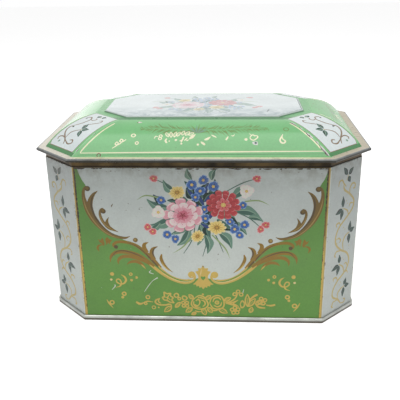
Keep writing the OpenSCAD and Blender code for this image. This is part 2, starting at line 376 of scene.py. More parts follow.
def lay_print(name, body, outline, ground, art, place, cuts=()):
    """A closed skin: place(u, v) gives a point of the bare metal and its normal, in mm."""
    layers = [(outline, ground)] + art
    flat, inside = cut_sheet(layers, cuts)
    count, inks = len(flat), [linear(INK[ink]) for _, ink in layers]
    sides = {(a, b) for t, _ in inside for a, b in zip(t, t[1:] + t[:1])}
    rim = [(a, b) for a, b in sides if (b, a) not in sides]
    based = [place(*spot) for spot in flat]
    verts = [(p + n * lift) * MM for lift in (SKIN_TOP, SKIN_LOW) for p, n in based]
    polygons = [t for t, _ in inside] + [[i + count for i in reversed(t)] for t, _ in inside]
    polygons += [[b, a, a + count, b + count] for a, b in rim]
    mesh = bpy.data.meshes.new(name)
    mesh.from_pydata(verts, [], polygons)
    colours = mesh.color_attributes.new("ink", "FLOAT_COLOR", "CORNER")
    corner_inks = [inks[top] for _ in range(2) for t, top in inside for _ in t] + [inks[0]] * (4 * len(rim))
    colours.data.foreach_set("color", [c for ink in corner_inks for c in ink])
    normals = [based[i][1] for t, _ in inside for i in t] + [-based[i][1] for t, _ in inside for i in reversed(t)]
    normals += [mesh.polygons[i].normal for i in range(2 * len(inside), len(polygons)) for _ in range(4)]
    mesh.polygons.foreach_set("use_smooth", [True] * len(polygons))
    mesh.normals_split_custom_set(normals)
    piece = bpy.data.objects.new(name, mesh)
    scene.collection.objects.link(piece)
    mesh.materials.append(print_material)
    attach(piece, body)
    print(name, len(inks), "shapes,", len(polygons), "faces")
    return piece


print("the skin is", round(SKIN_TOP - SKIN_LOW, 3), "mm thick")

# %% [markdown]
# ## Printed and varnished tinplate
#
# Lithographed tinplate is steel sheet with a smooth tin coat under flat inks and a thin stoved varnish. It gives
# soft, broad highlights, a faint unevenness from the rolling of the sheet, and after years a slight mottling and
# rubbed specks, most of them by the rim where fingers and lid touch it. The mottling is drawn coarser than the real
# print grain, which is too fine to show.

# %% Print material: inks and their mottling
print_material, tree, shader = new_material("lithographed_tinplate")
at = add(tree, "TexCoord").outputs["Object"]
place = add(tree, "SeparateXYZ", {0: at})
height = place.outputs["Z"]
ink = add(tree, "Attribute", attribute_name="ink")
grain = add(tree, "TexNoise", {"Vector": at, "Scale": 1 / 0.0011, "Detail": 3.0})
cloud = add(tree, "TexNoise", {"Vector": at, "Scale": 1 / 0.022, "Detail": 4.0, "Roughness": 0.6})
grain_level = add(tree, "MapRange", {0: grain, 1: 0.3, 2: 0.7, 3: 0.95, 4: 1.04})
cloud_level = add(tree, "MapRange", {0: cloud, 1: 0.3, 2: 0.7, 3: 0.93, 4: 1.03})
shade = add(tree, "Math", {0: grain_level, 1: cloud_level}, operation="MULTIPLY")
mottled = add(tree, "VectorMath", {0: ink, 1: shade}, operation="MULTIPLY")
print(print_material.name, len(tree.nodes), "nodes for the inks")

# %% [markdown]
# The walls are painted darker towards the lid, as painted shade from its overhang. Just under the lid they are
# painted with patchy soil, partly dirt and partly painted shade. Rubbed specks lie all over.

# %% Print material: walls painted darker towards the lid, soiled and shaded under it
on_wall = add(tree, "Math", {0: height, 1: 0.108}, operation="LESS_THAN")
# painted shade: the wall darkens smoothly from low down up to the lid
wall_shade_level = add(tree, "MapRange", {0: height, 1: 0.032, 2: 0.106, 3: 0.0, 4: 0.62},
                 interpolation_type="SMOOTHSTEP")
wall_shade_here = add(tree, "Math", {0: wall_shade_level, 1: on_wall}, operation="MULTIPLY")
shaded_towards_lid = add(tree, "Mix", {0: wall_shade_here, 6: mottled, 7: "#E4E6E8"}, data_type="RGBA", blend_type="MULTIPLY")
# soil just under the lid: partly dirt, partly painted shade
rim_level = add(tree, "MapRange", {0: height, 1: 0.090, 2: 0.106, 3: 0.0, 4: 1.0})
by_rim = add(tree, "Math", {0: rim_level, 1: on_wall}, operation="MULTIPLY")
soil = add(tree, "TexNoise", {"Vector": at, "Scale": 1 / 0.006, "Detail": 5.0, "Roughness": 0.65})
soil_level = add(tree, "MapRange", {0: soil, 1: 0.42, 2: 0.75, 3: 0.0, 4: 0.7})
soil_and_shade_here = add(tree, "Math", {0: soil_level, 1: by_rim}, operation="MULTIPLY")
soiled_and_shaded = add(tree, "Mix", {0: soil_and_shade_here, 6: shaded_towards_lid, 7: "#7B7364"}, data_type="RGBA")
speck = add(tree, "TexNoise", {"Vector": at, "Scale": 1 / 0.0024, "Detail": 2.0})
speck_here = add(tree, "MapRange", {0: speck, 1: 0.74, 2: 0.79, 3: 0.0, 4: 0.75})
specked = add(tree, "Mix", {0: speck_here, 6: soiled_and_shaded, 7: "#5A5143"}, data_type="RGBA")
print(print_material.name, len(tree.nodes), "nodes with the soil")

# %% [markdown]
# The lid's flat top is rubbed grey in patches along its front. Varnish over everything is the shader's thin clear
# coat, and the waves of the sheet and the grain of the print are two bumps.

# %% Print material: rubbed top and varnish
on_top = add(tree, "Math", {0: height, 1: 0.1291}, operation="GREATER_THAN")
by_front = add(tree, "MapRange", {0: place.outputs["Y"], 1: -0.034, 2: -0.006, 3: 1.0, 4: 0.0})
top_front = add(tree, "Math", {0: by_front, 1: on_top}, operation="MULTIPLY")
patchy = add(tree, "MapRange", {0: soil, 1: 0.32, 2: 0.62, 3: 0.0, 4: 1.0})
rubbed_here = add(tree, "Math", {0: top_front, 1: patchy}, operation="MULTIPLY")
rubbed = add(tree, "Mix", {0: rubbed_here, 6: specked, 7: "#879CA1"}, data_type="RGBA")
sheen = add(tree, "MapRange", {0: cloud, 1: 0.3, 2: 0.7, 3: 0.14, 4: 0.24})
wave = add(tree, "TexNoise", {"Vector": at, "Scale": 1 / 0.045, "Detail": 1.0})
wave_bump = add(tree, "Bump", {"Height": wave, "Strength": 0.25, "Distance": 0.0012})
bump = add(tree, "Bump", {"Height": grain, "Strength": 0.06, "Distance": 0.0002, "Normal": wave_bump})
feed(tree, shader, {
    "Base Color": rubbed, "Roughness": sheen, "Normal": bump, "Coat Weight": 0.08, "Coat Roughness": 0.12,
    "IOR": 1.45, "Specular IOR Level": 0.38,
})
print(print_material.name, len(tree.nodes), "nodes")

# %% [markdown]
# ## Flowers and leaves
#
# Each bloom is built from the back forward, petal row over petal row, with a darker brush mark at the root of a
# petal and a lighter one along it, the way such posies are painted.


# %% Petals and blooms
def petal(x, y, angle, length, width, body_ink, root_ink, edge_ink):
    """A petal from its root at x, y, with a dark mark at the root and a light one at the tip."""
    at_petal, half = set_at(x, y, angle), width / 2
    art = shape(body_ink, *[at_petal(u * length, v * half) for u, v in (
        (0, 0), (0.3, -0.6), (0.7, -1), (0.95, -0.6), (0.98, 0), (0.95, 0.6), (0.7, 1), (0.3, 0.6))])
    for mark_ink, marks in (
            (root_ink, ((0.05, 0, width * 0.3), (0.35, 0.1, width * 0.2), (0.62, 0.15, 0.1))),
            (edge_ink, ((0.72, -0.78, 0.1), (0.88, -0.4, width * 0.14), (0.92, 0.2, width * 0.12),
                        (0.8, 0.7, 0.1)))):
        art += stroke(mark_ink, *[(*at_petal(length * u, v * half), wide) for u, v, wide in marks])
    return art


def bloom(x, y, rows, heart, heart_inks, squash=1.0, turn=0.0):
    """Rows of petals, outermost first: (count, start angle, inner radius, length, width, three inks)."""
    art = []
    for count, start, inner, length, width, body_ink, root_ink, edge_ink in rows:
        for i in range(count):
            angle = start + math.tau * i / count
            reach = length * (1 + 0.1 * math.sin(3.1 * i + x))
            art += petal(inner * math.cos(angle), inner * math.sin(angle), angle, reach, width,
                         body_ink, root_ink, edge_ink)
    if heart:
        art += dot(heart_inks[0], 0, 0, heart)
        for i in range(7):
            angle = math.tau * i / 7 + 0.3
            art += dot(heart_inks[1], 0.62 * heart * math.cos(angle), 0.62 * heart * math.sin(angle), heart * 0.2)
    art = [([(px, py * squash) for px, py in points], ink_name) for points, ink_name in art]
    return moved(art, x, y, turn=turn)


print("a petal takes", len(petal(0, 0, 0, 6, 5, "pink", "rose", "pale pink")), "pieces")

# %% Leaves
PLAIN_LEAF = ("leaf", "dark leaf", "light leaf")


def leaf(x, y, angle, length, width, inks=PLAIN_LEAF, bow=0.15):
    """A leaf from its stalk at x, y, with one half darker and a light rib."""
    straight, half = set_at(x, y, angle), width / 2

    def at_leaf(u, v):
        return straight(u, v + bow * length * 4 * u / length * (1 - u / length))

    art = shape(inks[0], *[at_leaf(u * length, v * half) for u, v in (
        (0, 0), (0.2, -0.75), (0.45, -1), (0.75, -0.55), (1, 0), (0.75, 0.55), (0.45, 1), (0.2, 0.75))])
    art += shape(inks[1], *[at_leaf(u * length, v * half) for u, v in (
        (0.02, 0), (0.2, -0.68), (0.45, -0.9), (0.75, -0.45), (0.97, 0), (0.5, -0.12))])
    art += stroke(inks[2], (*at_leaf(0.05 * length, 0), 0.3), (*at_leaf(0.5 * length, 0.05 * half), 0.35),
                  (*at_leaf(0.92 * length, 0), 0.1))
    return art


print("a leaf takes", len(leaf(0, 0, 0, 12, 5)), "pieces")

# %% [markdown]
# ## The posy
#
# A loose garden posy of a generic kind fills the white field: a full pink bloom, a red one, daisies, small blue
# blossoms, and grey-green leaves with a few blades of grass.


# %% Small flowers
def blue_blossom(x, y, r):
    """Five blue petals round a yellow eye."""
    return bloom(x, y, [(5, 0.3 + x, 0, r, r * 0.95, "blue", "deep blue", "light blue")], r * 0.28,
                 ("yellow", "amber"))


def daisy(x, y, r, turn=0.0):
    """A yellow daisy, seen a little from the side."""
    return bloom(x, y, [(11, 0, r * 0.15, r * 0.85, r * 0.42, "yellow", "amber", "petal white")], r * 0.32,
                 ("amber", "brown"), squash=0.85, turn=turn)


print("a daisy takes", len(daisy(0, 0, 5)), "pieces")

# %% Stems and leaves of the posy
posy = []
for stem in (((0, 74), (8, 62), (13, 50)), ((-4, 74), (-6, 60), (-12, 49)), ((2, 74), (3, 60), (0, 47)),
             ((-14, 78), (-26, 70), (-33, 64)), ((14, 80), (28, 74), (37, 66)), ((-10, 84), (-20, 94), (-29, 99)),
             ((10, 88), (24, 96), (33, 99))):
    posy += line("dark leaf", 0.7, *stem)
for i in range(17):
    angle = math.tau * i / 17 + 0.15
    long = 12 + 3 * math.sin(2.7 * i)
    inks = (PLAIN_LEAF, ("dark leaf", "sprig dark", "leaf"))[i % 2]
    posy += leaf(11 * math.cos(angle), 77 + 8 * math.sin(angle), angle, long, 5.5, inks, bow=0.12 * (-1) ** i)
for x, y, angle, length, width in (
        (-20, 80, 2.75, 15, 6), (-18, 74, 3.5, 16, 6.5), (20, 78, -0.25, 16, 6.5), (18, 86, 0.45, 15, 6),
        (-8, 66, 4.1, 14, 6), (10, 64, -0.95, 14, 6), (-16, 90, 2.3, 11, 5), (2, 62, -1.5, 13, 5.5),
        (16, 70, -0.6, 14, 5), (-26, 70, 3.7, 9, 4), (28, 74, -0.3, 10, 4), (6, 98, 1.2, 8, 4),
        (-6, 98, 1.9, 8, 4)):
    posy += leaf(x, y, angle, length, width)
for x, y, angle in (
        (1, 88, 1.2), (2, 79, 0.4), (-1, 70, -0.6), (3, 72, 0.9), (-4, 86, 2.2), (14, 72, -0.4), (-22, 84, 2.6),
        (-3, 80, 1.5), (1, 81, 1.9), (1, 84, 0.7)):
    posy += leaf(x, y, angle, 9, 5, ("sprig dark", "deep blue", "leaf"))
print("stems and leaves:", len(posy), "shapes")

# %% Grass and flowers of the posy
for blade in (((-6, 62), (-12, 54), (-19, 49)), ((6, 62), (14, 53), (17, 46)), ((24, 84), (34, 85), (41, 82)),
              ((-24, 86), (-34, 88), (-40, 85))):
    posy += stroke("grass", (*blade[0], 0.9), (*blade[1], 0.9), (*blade[2], 0.1))
for x, y in ((-31, 64), (-34, 67), (36, 66), (39, 69), (33, 99), (-29, 99)):
    posy += bloom(x, y, [(5, 0.4, 0, 2.6, 2.3, "light red", "red", "pale pink")], 0.6, ("yellow", "amber"))
for x, y, r in (
        (-6, 95, 3.4), (1, 98, 3.2), (7, 94, 3.5), (-1, 91, 3.3), (20, 66, 3.2), (26, 69, 3.0), (23, 62, 2.8),
        (-22, 62, 3.0), (-17, 59, 2.8), (2, 73, 2.9), (1.5, 79, 2.7), (-4, 87, 2.8), (17, 71, 2.7), (-25, 85, 2.8),
        (25, 82, 2.6)):
    posy += blue_blossom(x, y, r)
posy += bloom(-12, 75, [(9, 0.1, 5.2, 7.2, 6.6, "pink", "rose", "pale pink"),
                        (8, 0.5, 3.4, 6.2, 5.6, "pale pink", "rose", "petal white"),
                        (7, 0.2, 1.6, 5.2, 4.6, "pink", "rose", "pale pink"),
                        (5, 0.6, 0.2, 3.8, 3.4, "rose", "deep red", "pink")], 1.2, ("deep red", "rose"), squash=0.9,
              turn=0.2)
posy += bloom(13, 82, [(12, 0.0, 4.2, 6.4, 4.2, "red", "deep red", "light red"),
                       (10, 0.3, 2.4, 5.6, 3.6, "red", "deep red", "light red"),
                       (7, 0.1, 0.6, 4.2, 2.9, "light red", "red", "pink")], 1.5, ("yellow", "amber"), squash=0.92,
              turn=-0.2)
posy += daisy(9, 67, 5.8) + daisy(-15, 90, 5.2, 0.4) + daisy(-3, 61, 4.6, 0.8)
for x, y, start, length, width in ((27, 91, 0.2, 4.4, 3.8), (-27, 77, 0.5, 4.2, 3.7)):
    posy += bloom(x, y, [(6, start, 0, length, width, "petal white", "pale pink", "pale pink")], 1.0,
                  ("yellow", "amber"))
print("posy:", len(posy), "shapes")

# %% [markdown]
# ## The front panel
#
# Gilt scrolls of the rococo kind frame the white field: a C-scroll with a leaf each side, a smaller one inside it,
# and below them a pair of long scrolls that meet at a palmette. Only the left half is drawn, and the right is its
# mirror image. Each scroll is brushed in old gold and then lit along one side.

# %% White field and upper scrolls
field = [(-66, 113), (-75.8, 109), (-75.2, 105.5), (-74.3, 102), (-73, 98.5), (-70.6, 93.6), (-72, 90), (-72.4, 86),
         (-71.2, 81), (-69, 75.5), (-65.5, 70), (-60.5, 64.5), (-54.5, 60.5), (-49, 58), (-44.5, 56.6), (-40, 54.4),
         (-35.5, 50), (-31, 44), (-27, 38.5), (-21, 33.2), (-14, 30.6), (-8, 30.5), (0, 32)]
field += [(-x, y) for x, y in reversed(field[:-1])]
scroll = draw(
    (stroke, "old gold", (-70.4, 93.9, 1.0), (-72.0, 92.0, 1.6), (-72.7, 88, 2.1), (-72, 83, 3.0), (-70, 77.5, 4.5),
     (-67, 71.5, 4.3), (-63, 66.3, 3.3), (-58.5, 62.3, 2.6), (-53, 60.1, 2.1), (-48.6, 59.5, 1.6),
     (-45.3, 60.7, 0.2)),
    (stroke, "old gold", (-63.6, 90.9, 0.2), (-66.4, 88.6, 2.0), (-68.5, 84.8, 3.1), (-69.4, 80, 3.9),
     (-67.8, 74, 3.2)),
    (dot, "dark gold", -69.9, 92.4, 1.75), (dot, "old gold", -70.1, 92.7, 1.1),
    (stroke, "dark gold", (-64.6, 90.2, 0.1), (-67.6, 86, 0.8), (-68.2, 80, 1.2), (-66.2, 73, 1.3),
     (-61.8, 66.8, 0.8), (-57.5, 63, 0.6), (-53, 61, 0.4), (-49, 60.2, 0.1)),
    (stroke, "lit gold", (-72.9, 87, 0.1), (-72.3, 82, 0.6), (-70.6, 76.5, 0.7), (-67, 69.8, 0.7),
     (-62.5, 64.6, 0.6), (-57, 60.8, 0.5), (-52, 59.4, 0.1)),
    (stroke, "old gold", (-60.9, 79.3, 0.9), (-62.6, 78.6, 1.3), (-63.4, 76, 1.6), (-62.7, 72.5, 1.8),
     (-61, 69.2, 2), (-58.4, 66.6, 2.5), (-55.8, 65, 1.5), (-52.6, 63.5, 0.2)),
    (stroke, "old gold", (-58, 73.5, 0.2), (-59.3, 71, 1.6), (-59.3, 68.3, 2.8), (-57.6, 66.2, 1.6)),
    (dot, "dark gold", -61.2, 77.5, 1.65), (dot, "old gold", -61.4, 77.9, 1.0),
    (stroke, "lit gold", (-63.6, 75.5, 0.1), (-62.9, 72, 0.5), (-60.8, 68.6, 0.5), (-57.8, 66, 0.5),
     (-54.5, 64.3, 0.1)),
)
print("upper scroll:", len(scroll), "shapes")

# %% Long lower scrolls
scroll += draw(
    (dot, "old gold", -42.2, 58.1, 1.55), (dot, "lit gold", -42.4, 58.3, 0.8),
    (stroke, "leaf gold", (-54, 52.1, 0.8), (-55.4, 53.1, 1.6), (-56.3, 54.7, 1.8), (-54.5, 56.3, 1.9),
     (-51.5, 56.8, 1.9), (-46.4, 56.1, 1.9), (-41.5, 54, 2.0), (-36.7, 49.9, 2.3), (-33, 46, 2.9), (-30, 42.2, 2.9),
     (-27, 38.6, 2.0)),
    (stroke, "gold", (-28.5, 40, 1.2), (-26.5, 37.4, 1.7), (-22, 33.5, 1.6), (-17, 31, 1.4), (-12, 30, 1.3),
     (-8.5, 30.4, 1.0)),
    (dot, "dark gold", -54.8, 53.2, 1.35),
    (stroke, "dark gold", (-47, 56.2, 0.1), (-41.5, 53.6, 0.5), (-37, 49.6, 0.7), (-33, 44.8, 1.0),
     (-29.5, 40.5, 0.8), (-27, 37.2, 0.1)),
    (stroke, "leaf gold", (-37.6, 44.2, 1.6), (-32, 40, 2.4)),
    (stroke, "gold", (-34, 41.5, 1.2), (-31.5, 39.4, 2.2), (-27, 35.4, 2.2), (-21, 31.2, 2.0), (-15, 28.6, 1.7),
     (-10.5, 28.1, 1.6), (-7.2, 29.3, 1.6), (-5.4, 31.4, 1.4), (-5.0, 33.6, 0.9)),
    (dot, "gold", -7.3, 34, 2.4),
    (stroke, "wall green", (-34, 42.9, 0.2), (-30, 39.8, 0.8), (-25.6, 36, 0.8), (-21, 32.7, 0.8), (-16, 30.3, 0.7),
     (-11.5, 29.4, 0.5), (-9, 29.6, 0.1)),
    (stroke, "pale gold", (-27, 35.9, 0.1), (-21, 31.6, 0.5), (-15, 29.2, 0.5), (-10, 28.9, 0.4), (-7, 30, 0.1)),
)
print("with the lower scroll:", len(scroll), "shapes")

# %% Leaves on the scrolls
scroll += draw(
    (stroke, "leaf gold", (-35.2, 49.4, 2.6), (-36.8, 52.6, 2.7), (-36.6, 55.2, 2.2), (-34, 56.6, 0.2)),
    (stroke, "leaf gold", (-31.2, 44.4, 3.2), (-32.4, 48.5, 2.9), (-31.4, 52, 2.2), (-28.2, 53.8, 0.2)),
    (stroke, "dark gold", (-30.4, 45.4, 0.2), (-31.6, 49, 1.0), (-30.6, 52.2, 0.8), (-28.4, 53.6, 0.1)),
    (stroke, "leaf gold", (-25.9, 48.4, 0.7), (-26.5, 45.5, 2.0), (-25.2, 41.8, 2.0), (-22.8, 38.4, 1.4),
     (-19.3, 35.6, 0.2)),
    (stroke, "gold", (-26.2, 43, 0.1), (-24.4, 39.5, 0.7), (-20.2, 36, 0.1)),
    (stroke, "leaf gold", (-59, 42.4, 0.2), (-58.4, 46.4, 1.8), (-55, 49.3, 2.4), (-49, 49.8, 2.7),
     (-41, 47.4, 2.7), (-35, 43.3, 2.3), (-31, 39.8, 1.4)),
    (stroke, "leaf gold", (-54, 40.9, 0.2), (-53.8, 44, 1.8), (-51, 46.3, 2.3), (-45.9, 46.5, 2.3),
     (-38.9, 44.2, 2.1), (-34, 41.2, 1.2)),
    (stroke, "leaf gold", (-48.6, 40.8, 0.2), (-46.2, 42.6, 1.7), (-42.5, 43, 2.1), (-39.1, 41.3, 1.9),
     (-36.4, 37.6, 0.2)),
    (stroke, "gold", (-39.5, 41.2, 0.1), (-38.2, 39.8, 0.8), (-36.6, 37.9, 0.1)),
    (stroke, "dark gold", (-58.2, 45.6, 0.1), (-54.8, 49.8, 0.6), (-49, 50.4, 0.7), (-41.5, 47.8, 0.6),
     (-36.5, 44.6, 0.1)),
    (patch, "leaf gold", (-66, 58.6), (-64.4, 57.6), (-63, 59.6), (-62.3, 57.6), (-61.8, 55), (-63, 53.6),
     (-63.8, 55.6), (-65, 56.4)),
    (patch, "leaf gold", (-61.4, 58.4), (-60, 60), (-58.6, 58.4), (-56.8, 58), (-58.2, 56.4), (-58.2, 54.6),
     (-59.6, 56), (-60.8, 54.2), (-61, 56.4)),
    (stroke, "leaf gold", (-63.6, 54.6, 0.6), (-65.8, 53.9, 1.3), (-66.6, 52.1, 1.4), (-65.6, 49.9, 0.2)),
)
print("scroll half:", len(scroll), "shapes")

# %% [markdown]
# Loose curls and dots fill the green to both sides, and a palmette closes the frame where the long scrolls meet.
# The curls on the right are printed a little further out, so the small pair of rounds is kept apart.

# %% Curls and palmette
curls = draw(
    (dot, "gold", -58.6, 33.9, 1.35), (dot, "pale gold", -59.4, 29.8, 0.85),
    (hoop, "gold", -46.5, 33.9, 0.85, 0.75), (dot, "gold", -42.9, 31.6, 0.95), (dot, "gold", -46.2, 29.6, 0.95),
    (stroke, "gold", (-52.8, 33.5, 0.2), (-50.7, 32, 1.1), (-49.8, 29.4, 1.3), (-51.4, 27.1, 1.1), (-54, 26.8, 0.9),
     (-56, 28.3, 0.9), (-55.7, 30, 0.9), (-54, 30, 0.9), (-53, 27.8, 0.9), (-53.8, 25.3, 0.9), (-56.8, 24, 0.2)),
)
pair = hoop("gold", -51.6, 19.5, 1.2, 0.9) + dot("gold", -52.7, 16.9, 0.95)
curls += stroke("gold", (-63.4, 15.2, 0.2), (-62, 12.2, 1.0), (-59.4, 8.6, 0.2)) + hoop("gold", -60, 12.9, 1.3, 0.9)
half_palmette = [(0, 41), (1.2, 38.7), (3.3, 38.8), (2.9, 36.9), (5.1, 36.3), (4.2, 35), (3.3, 33.7), (3.0, 32.2),
                 (3.5, 30.5), (4.9, 28.8), (6.7, 27), (4.6, 26.9), (4.4, 25.6), (2.8, 26), (2.4, 24.6), (1.2, 25.2),
                 (0, 23.5)]
palmette = patch("gold", *half_palmette, *[(-x, y) for x, y in reversed(half_palmette[1:-1])])
palmette += draw(
    (patch, "wall green", (0, 32.4), (0.7, 33), (1.5, 32.6), (1.4, 31.5), (0, 30), (-1.4, 31.5), (-1.5, 32.6),
     (-0.7, 33)),
    (stroke, "pale gold", (-0.9, 38.5, 0.1), (-1.4, 35.5, 0.6), (-2, 33, 0.1)), (dot, "old gold", 0, 40, 0.5),
)
print("curls:", len(curls) + len(pair), "shapes, palmette:", len(palmette))

# %% [markdown]
# Under the scrolls lies a garland in gold line. Its roses, leaves and small blossoms are outlines with the green
# showing through, so each is made of even strokes.


# %% Leaves and blossoms in outline
def line_leaf(x, y, angle, length, width, ink="gold", weight=0.95):
    """A leaf drawn in outline, with a rib."""
    at_leaf, art = set_at(x, y, angle), []
    for side in (1, -1):
        edge = ((0, 0), (0.3, 0.8), (0.65, 0.8), (1, 0))
        art += line(ink, weight, *[at_leaf(u * length, v * side * width / 2) for u, v in edge])
    return art + line(ink, 0.7 * weight, (x, y), at_leaf(length * 0.7, 0))


def line_blossom(x, y, r, count, ink="gold"):
    """Hoops set round a dot."""
    art = dot(ink, x, y, r * 0.22)
    for i in range(count):
        a = math.tau * i / count + 0.4
        art += hoop(ink, x + r * 0.62 * math.cos(a), y + r * 0.62 * math.sin(a), r * 0.34, 0.85)
    return art


STRAIGHT = 9  # mm, a step that leaves straight lines in few pieces


def outline_of(ink, width, *points):
    """Straight strokes from point to point, for leaves with sharp tips."""
    pairs = zip(points, points[1:])
    return [piece for a, b in pairs for piece in stroke(ink, (*a, width), (*b, width), step=STRAIGHT)]


print("a leaf in outline takes", len(line_leaf(0, 0, 0, 6, 3)), "pieces")

# %% Left end of the garland
garland = draw(
    (stroke, "gold", (-44, 13.6, 1.3), (-41.8, 12.1, 1.6), (-39.4, 12.8, 0.9), (-36.8, 14.1, 0.9),
     (-33, 13.6, 0.4)),
    (hoop, "gold", -37.8, 12.4, 0.8, 0.7), (hoop, "gold", -36.2, 17.2, 1.2, 0.8),
    (hoop, "gold", -32.6, 9.6, 1.1, 0.6), (dot, "gold", -29.4, 9.6, 0.6),
    (line, "gold", 1.1, (-28.4, 16.4), (-30.8, 15.2), (-31.4, 13.4), (-29.4, 11.8), (-25.4, 11.5), (-22, 12.1),
     (-20.8, 10.8)),
    (line, "gold", 0.9, (-28.4, 16.4), (-29.4, 14.2), (-27.8, 12.7)),
    (outline_of, "gold", 0.95, (-25.6, 15.2), (-26.9, 17.2), (-25.3, 17.6), (-25.6, 21.2), (-23.7, 19.8),
     (-21.1, 20.4), (-21.5, 18.4), (-19.5, 17), (-20.8, 15.5), (-19.2, 13.2), (-21.7, 13.6), (-23.7, 15),
     (-25.6, 15.2)),
    (line, "gold", 0.8, (-23.7, 15), (-23, 17.8), (-21.8, 19.6)),
    (line, "gold", 0.8, (-25.2, 17.4), (-23.4, 17), (-21.4, 15.2)), (hoop, "gold", -17.5, 18.8, 1.4, 0.9),
    (hoop, "gold", -15.7, 16.4, 0.9, 0.8),
    (outline_of, "gold", 0.9, (-13.7, 16.4), (-13.6, 18.3), (-11.8, 18.4), (-10.4, 16.8), (-12, 15), (-13.7, 16.4)),
)
print("left end of the garland:", len(garland), "shapes")

# %% Leaves and roses of the garland
for x, y in ((-13.2, 13.4), (-10.8, 13.4), (-12.9, 11.1), (-10.7, 11.1)):
    garland += hoop("gold", x, y, 1.0, 0.9)
for x, y, angle, length, width in (
        (-20.8, 10.6, 3.85, 6.6, 3.2), (-18.5, 9.6, 0.9, 5.5, 2.2), (-6.6, 16.2, 2.25, 4.4, 2.4),
        (1.2, 15.8, 0.75, 4.8, 2.4), (-7.2, 9.6, 3.75, 5.6, 2.8), (-4.8, 6.2, 3.6, 3.6, 1.8),
        (-0.6, 9.4, -1.2, 5.4, 3.2), (2.9, 10.2, -0.95, 4.8, 2.8), (9.6, 9.4, -0.5, 6.8, 3.2),
        (13.4, 15.2, 0.5, 5, 2.4), (28.6, 11, 1.6, 9.4, 3), (29.1, 11.1, 0.95, 7.6, 3), (30.2, 6.6, 1.25, 4.4, 2.6),
        (33.8, 12.4, 0.8, 5.6, 2.8)):
    garland += line_leaf(x, y, angle, length, width)
for points in (
        ((-5.3, 17.2), (-2.8, 18.8), (0.1, 18), (2.1, 15.1), (3, 12.1), (1.1, 9.6), (-2.8, 8.8), (-6.6, 10.2),
         (-7.9, 12.7), (-6.9, 15.6), (-5.3, 17.2)), ((-5, 14.8), (-3.4, 16.2), (-2.3, 14.4), (-2.8, 12.2)),
        ((-1.5, 15.6), (0.5, 14.7), (1.1, 12.5), (-0.5, 10.8)), ((-5.6, 12.4), (-4.2, 11.2), (-2.8, 12.2)),
        ((-6.2, 14.6), (-6.4, 12.6), (-4.8, 10.4), (-2, 10.2)), ((-3.6, 17.4), (-1.4, 17.2), (0.6, 16.2)),
        ((-5.6, 7.6), (-3.8, 6.8), (-1.6, 7)),
        ((4, 13.3), (5.3, 17.2), (8.5, 19), (11.7, 18.2), (13.3, 14.5), (13, 10.8), (10.1, 9), (6.2, 9.7),
         (4, 13.3)), ((6.1, 14.2), (7.2, 16.9), (9.8, 17.5), (11.4, 15.8)),
        ((6.7, 12), (8.8, 10.7), (11.1, 11.8), (11.8, 14.2)), ((5.2, 8.2), (7.4, 7.8), (9.6, 8.6)),
        ((14, 14), (17.2, 14.6), (20.4, 17), (22.2, 20.6)),
        ((23.8, 13), (25, 15.4), (26.5, 13.6), (26.2, 11.2), (24.6, 10.4), (23.8, 13)),
        ((36, 13.4), (38.4, 12.6), (40.4, 14))):
    garland += line("gold", 0.95, *points)
garland += hoop("gold", 8.8, 13.9, 1.1, 0.9) + dot("gold", 8.8, 13.9, 0.4) + dot("gold", -0.3, 19.8, 0.75)
for x, y in ((22.4, 22.2), (20.2, 20.2), (24.4, 20)):
    garland += hoop("gold", x, y, 1.1, 0.8)
garland += draw(
    (stroke, "gold", (14.4, 13.3, 0.6), (18.5, 13.6, 1.6), (22.6, 16, 0.3)),
    (stroke, "gold", (16.4, 12.8, 0.6), (20, 12.4, 1.6), (23, 11, 0.3)),
    (stroke, "gold", (29.7, 16, 0.8), (32.3, 18.6, 1.4), (34.9, 20.2, 1.3)),
    (stroke, "gold", (33.2, 13.6, 0.4), (35.8, 10.9, 1.3), (40, 10.3, 0.8)), (line_blossom, 20.6, 8.2, 3.3, 5),
    (line_blossom, 38, 15.4, 3.1, 4), (stroke, "gold", (40.4, 12.6, 0.5), (43.5, 12.1, 1.3), (46.4, 12.8, 1.2)),
)
print("garland:", len(garland), "shapes")

# %% [markdown]
# The print is worn where it was handled: scratches down to the bright metal, rusty chips along the top edge and
# down the left edge. They are scattered by a seeded random generator, so they fall alike on every run. The dark
# band along the top edge and the larger chips and strokes under it are partly rust and partly painted shade.


# %% Chips
def chip(rng, ink, x, y, size, stretch=1.0):
    """An uneven spot with seven sides."""
    points = []
    for i in range(7):
        a = math.tau * i / 7
        r = size * rng.uniform(0.55, 1.1)
        points.append((x + r * math.cos(a), y + r * math.sin(a) * stretch))
    return patch(ink, *points)


def edge_wear(seed, low, high, at_edge, count, ink="rust", size=(0.25, 0.7), stretch=2.2):
    """Chips scattered along an edge: at_edge(t) gives a point for t from low to high."""
    rng = random.Random(seed)
    art = []
    for _ in range(count):
        t = rng.uniform(low, high)
        x, y = at_edge(t)
        art += chip(rng, ink, x, y, rng.uniform(*size), stretch)
    return art


print("a chip has", len(chip(random.Random(0), "rust", 0, 0, 1)[0][0]), "corners")


# %% Gold margins
def rectangle(x0, y0, x1, y1):
    """Corners of an upright rectangle."""
    return [(x0, y0), (x1, y0), (x1, y1), (x0, y1)]


LOW, TOP = 3.65, 105.95  # mm, lower and upper edge of the wall prints


def edge_bands(inner, outer):
    """The gold margins at both upright edges of a panel."""
    return [(rectangle(s * outer, LOW - 1, s * inner, TOP + 1), "old gold") for s in (-1, 1)]


edges = edge_bands(75.7, 78)
edges += stroke("gold", (-76.3, 3, 0.9), (-76.3, 60, 0.9), (-76.2, 78, 0.2))
edges += stroke("gold", (76.3, 3, 0.9), (76.3, 40, 0.9), (76.2, 62, 0.2))
print("margins:", len(edges), "shapes")
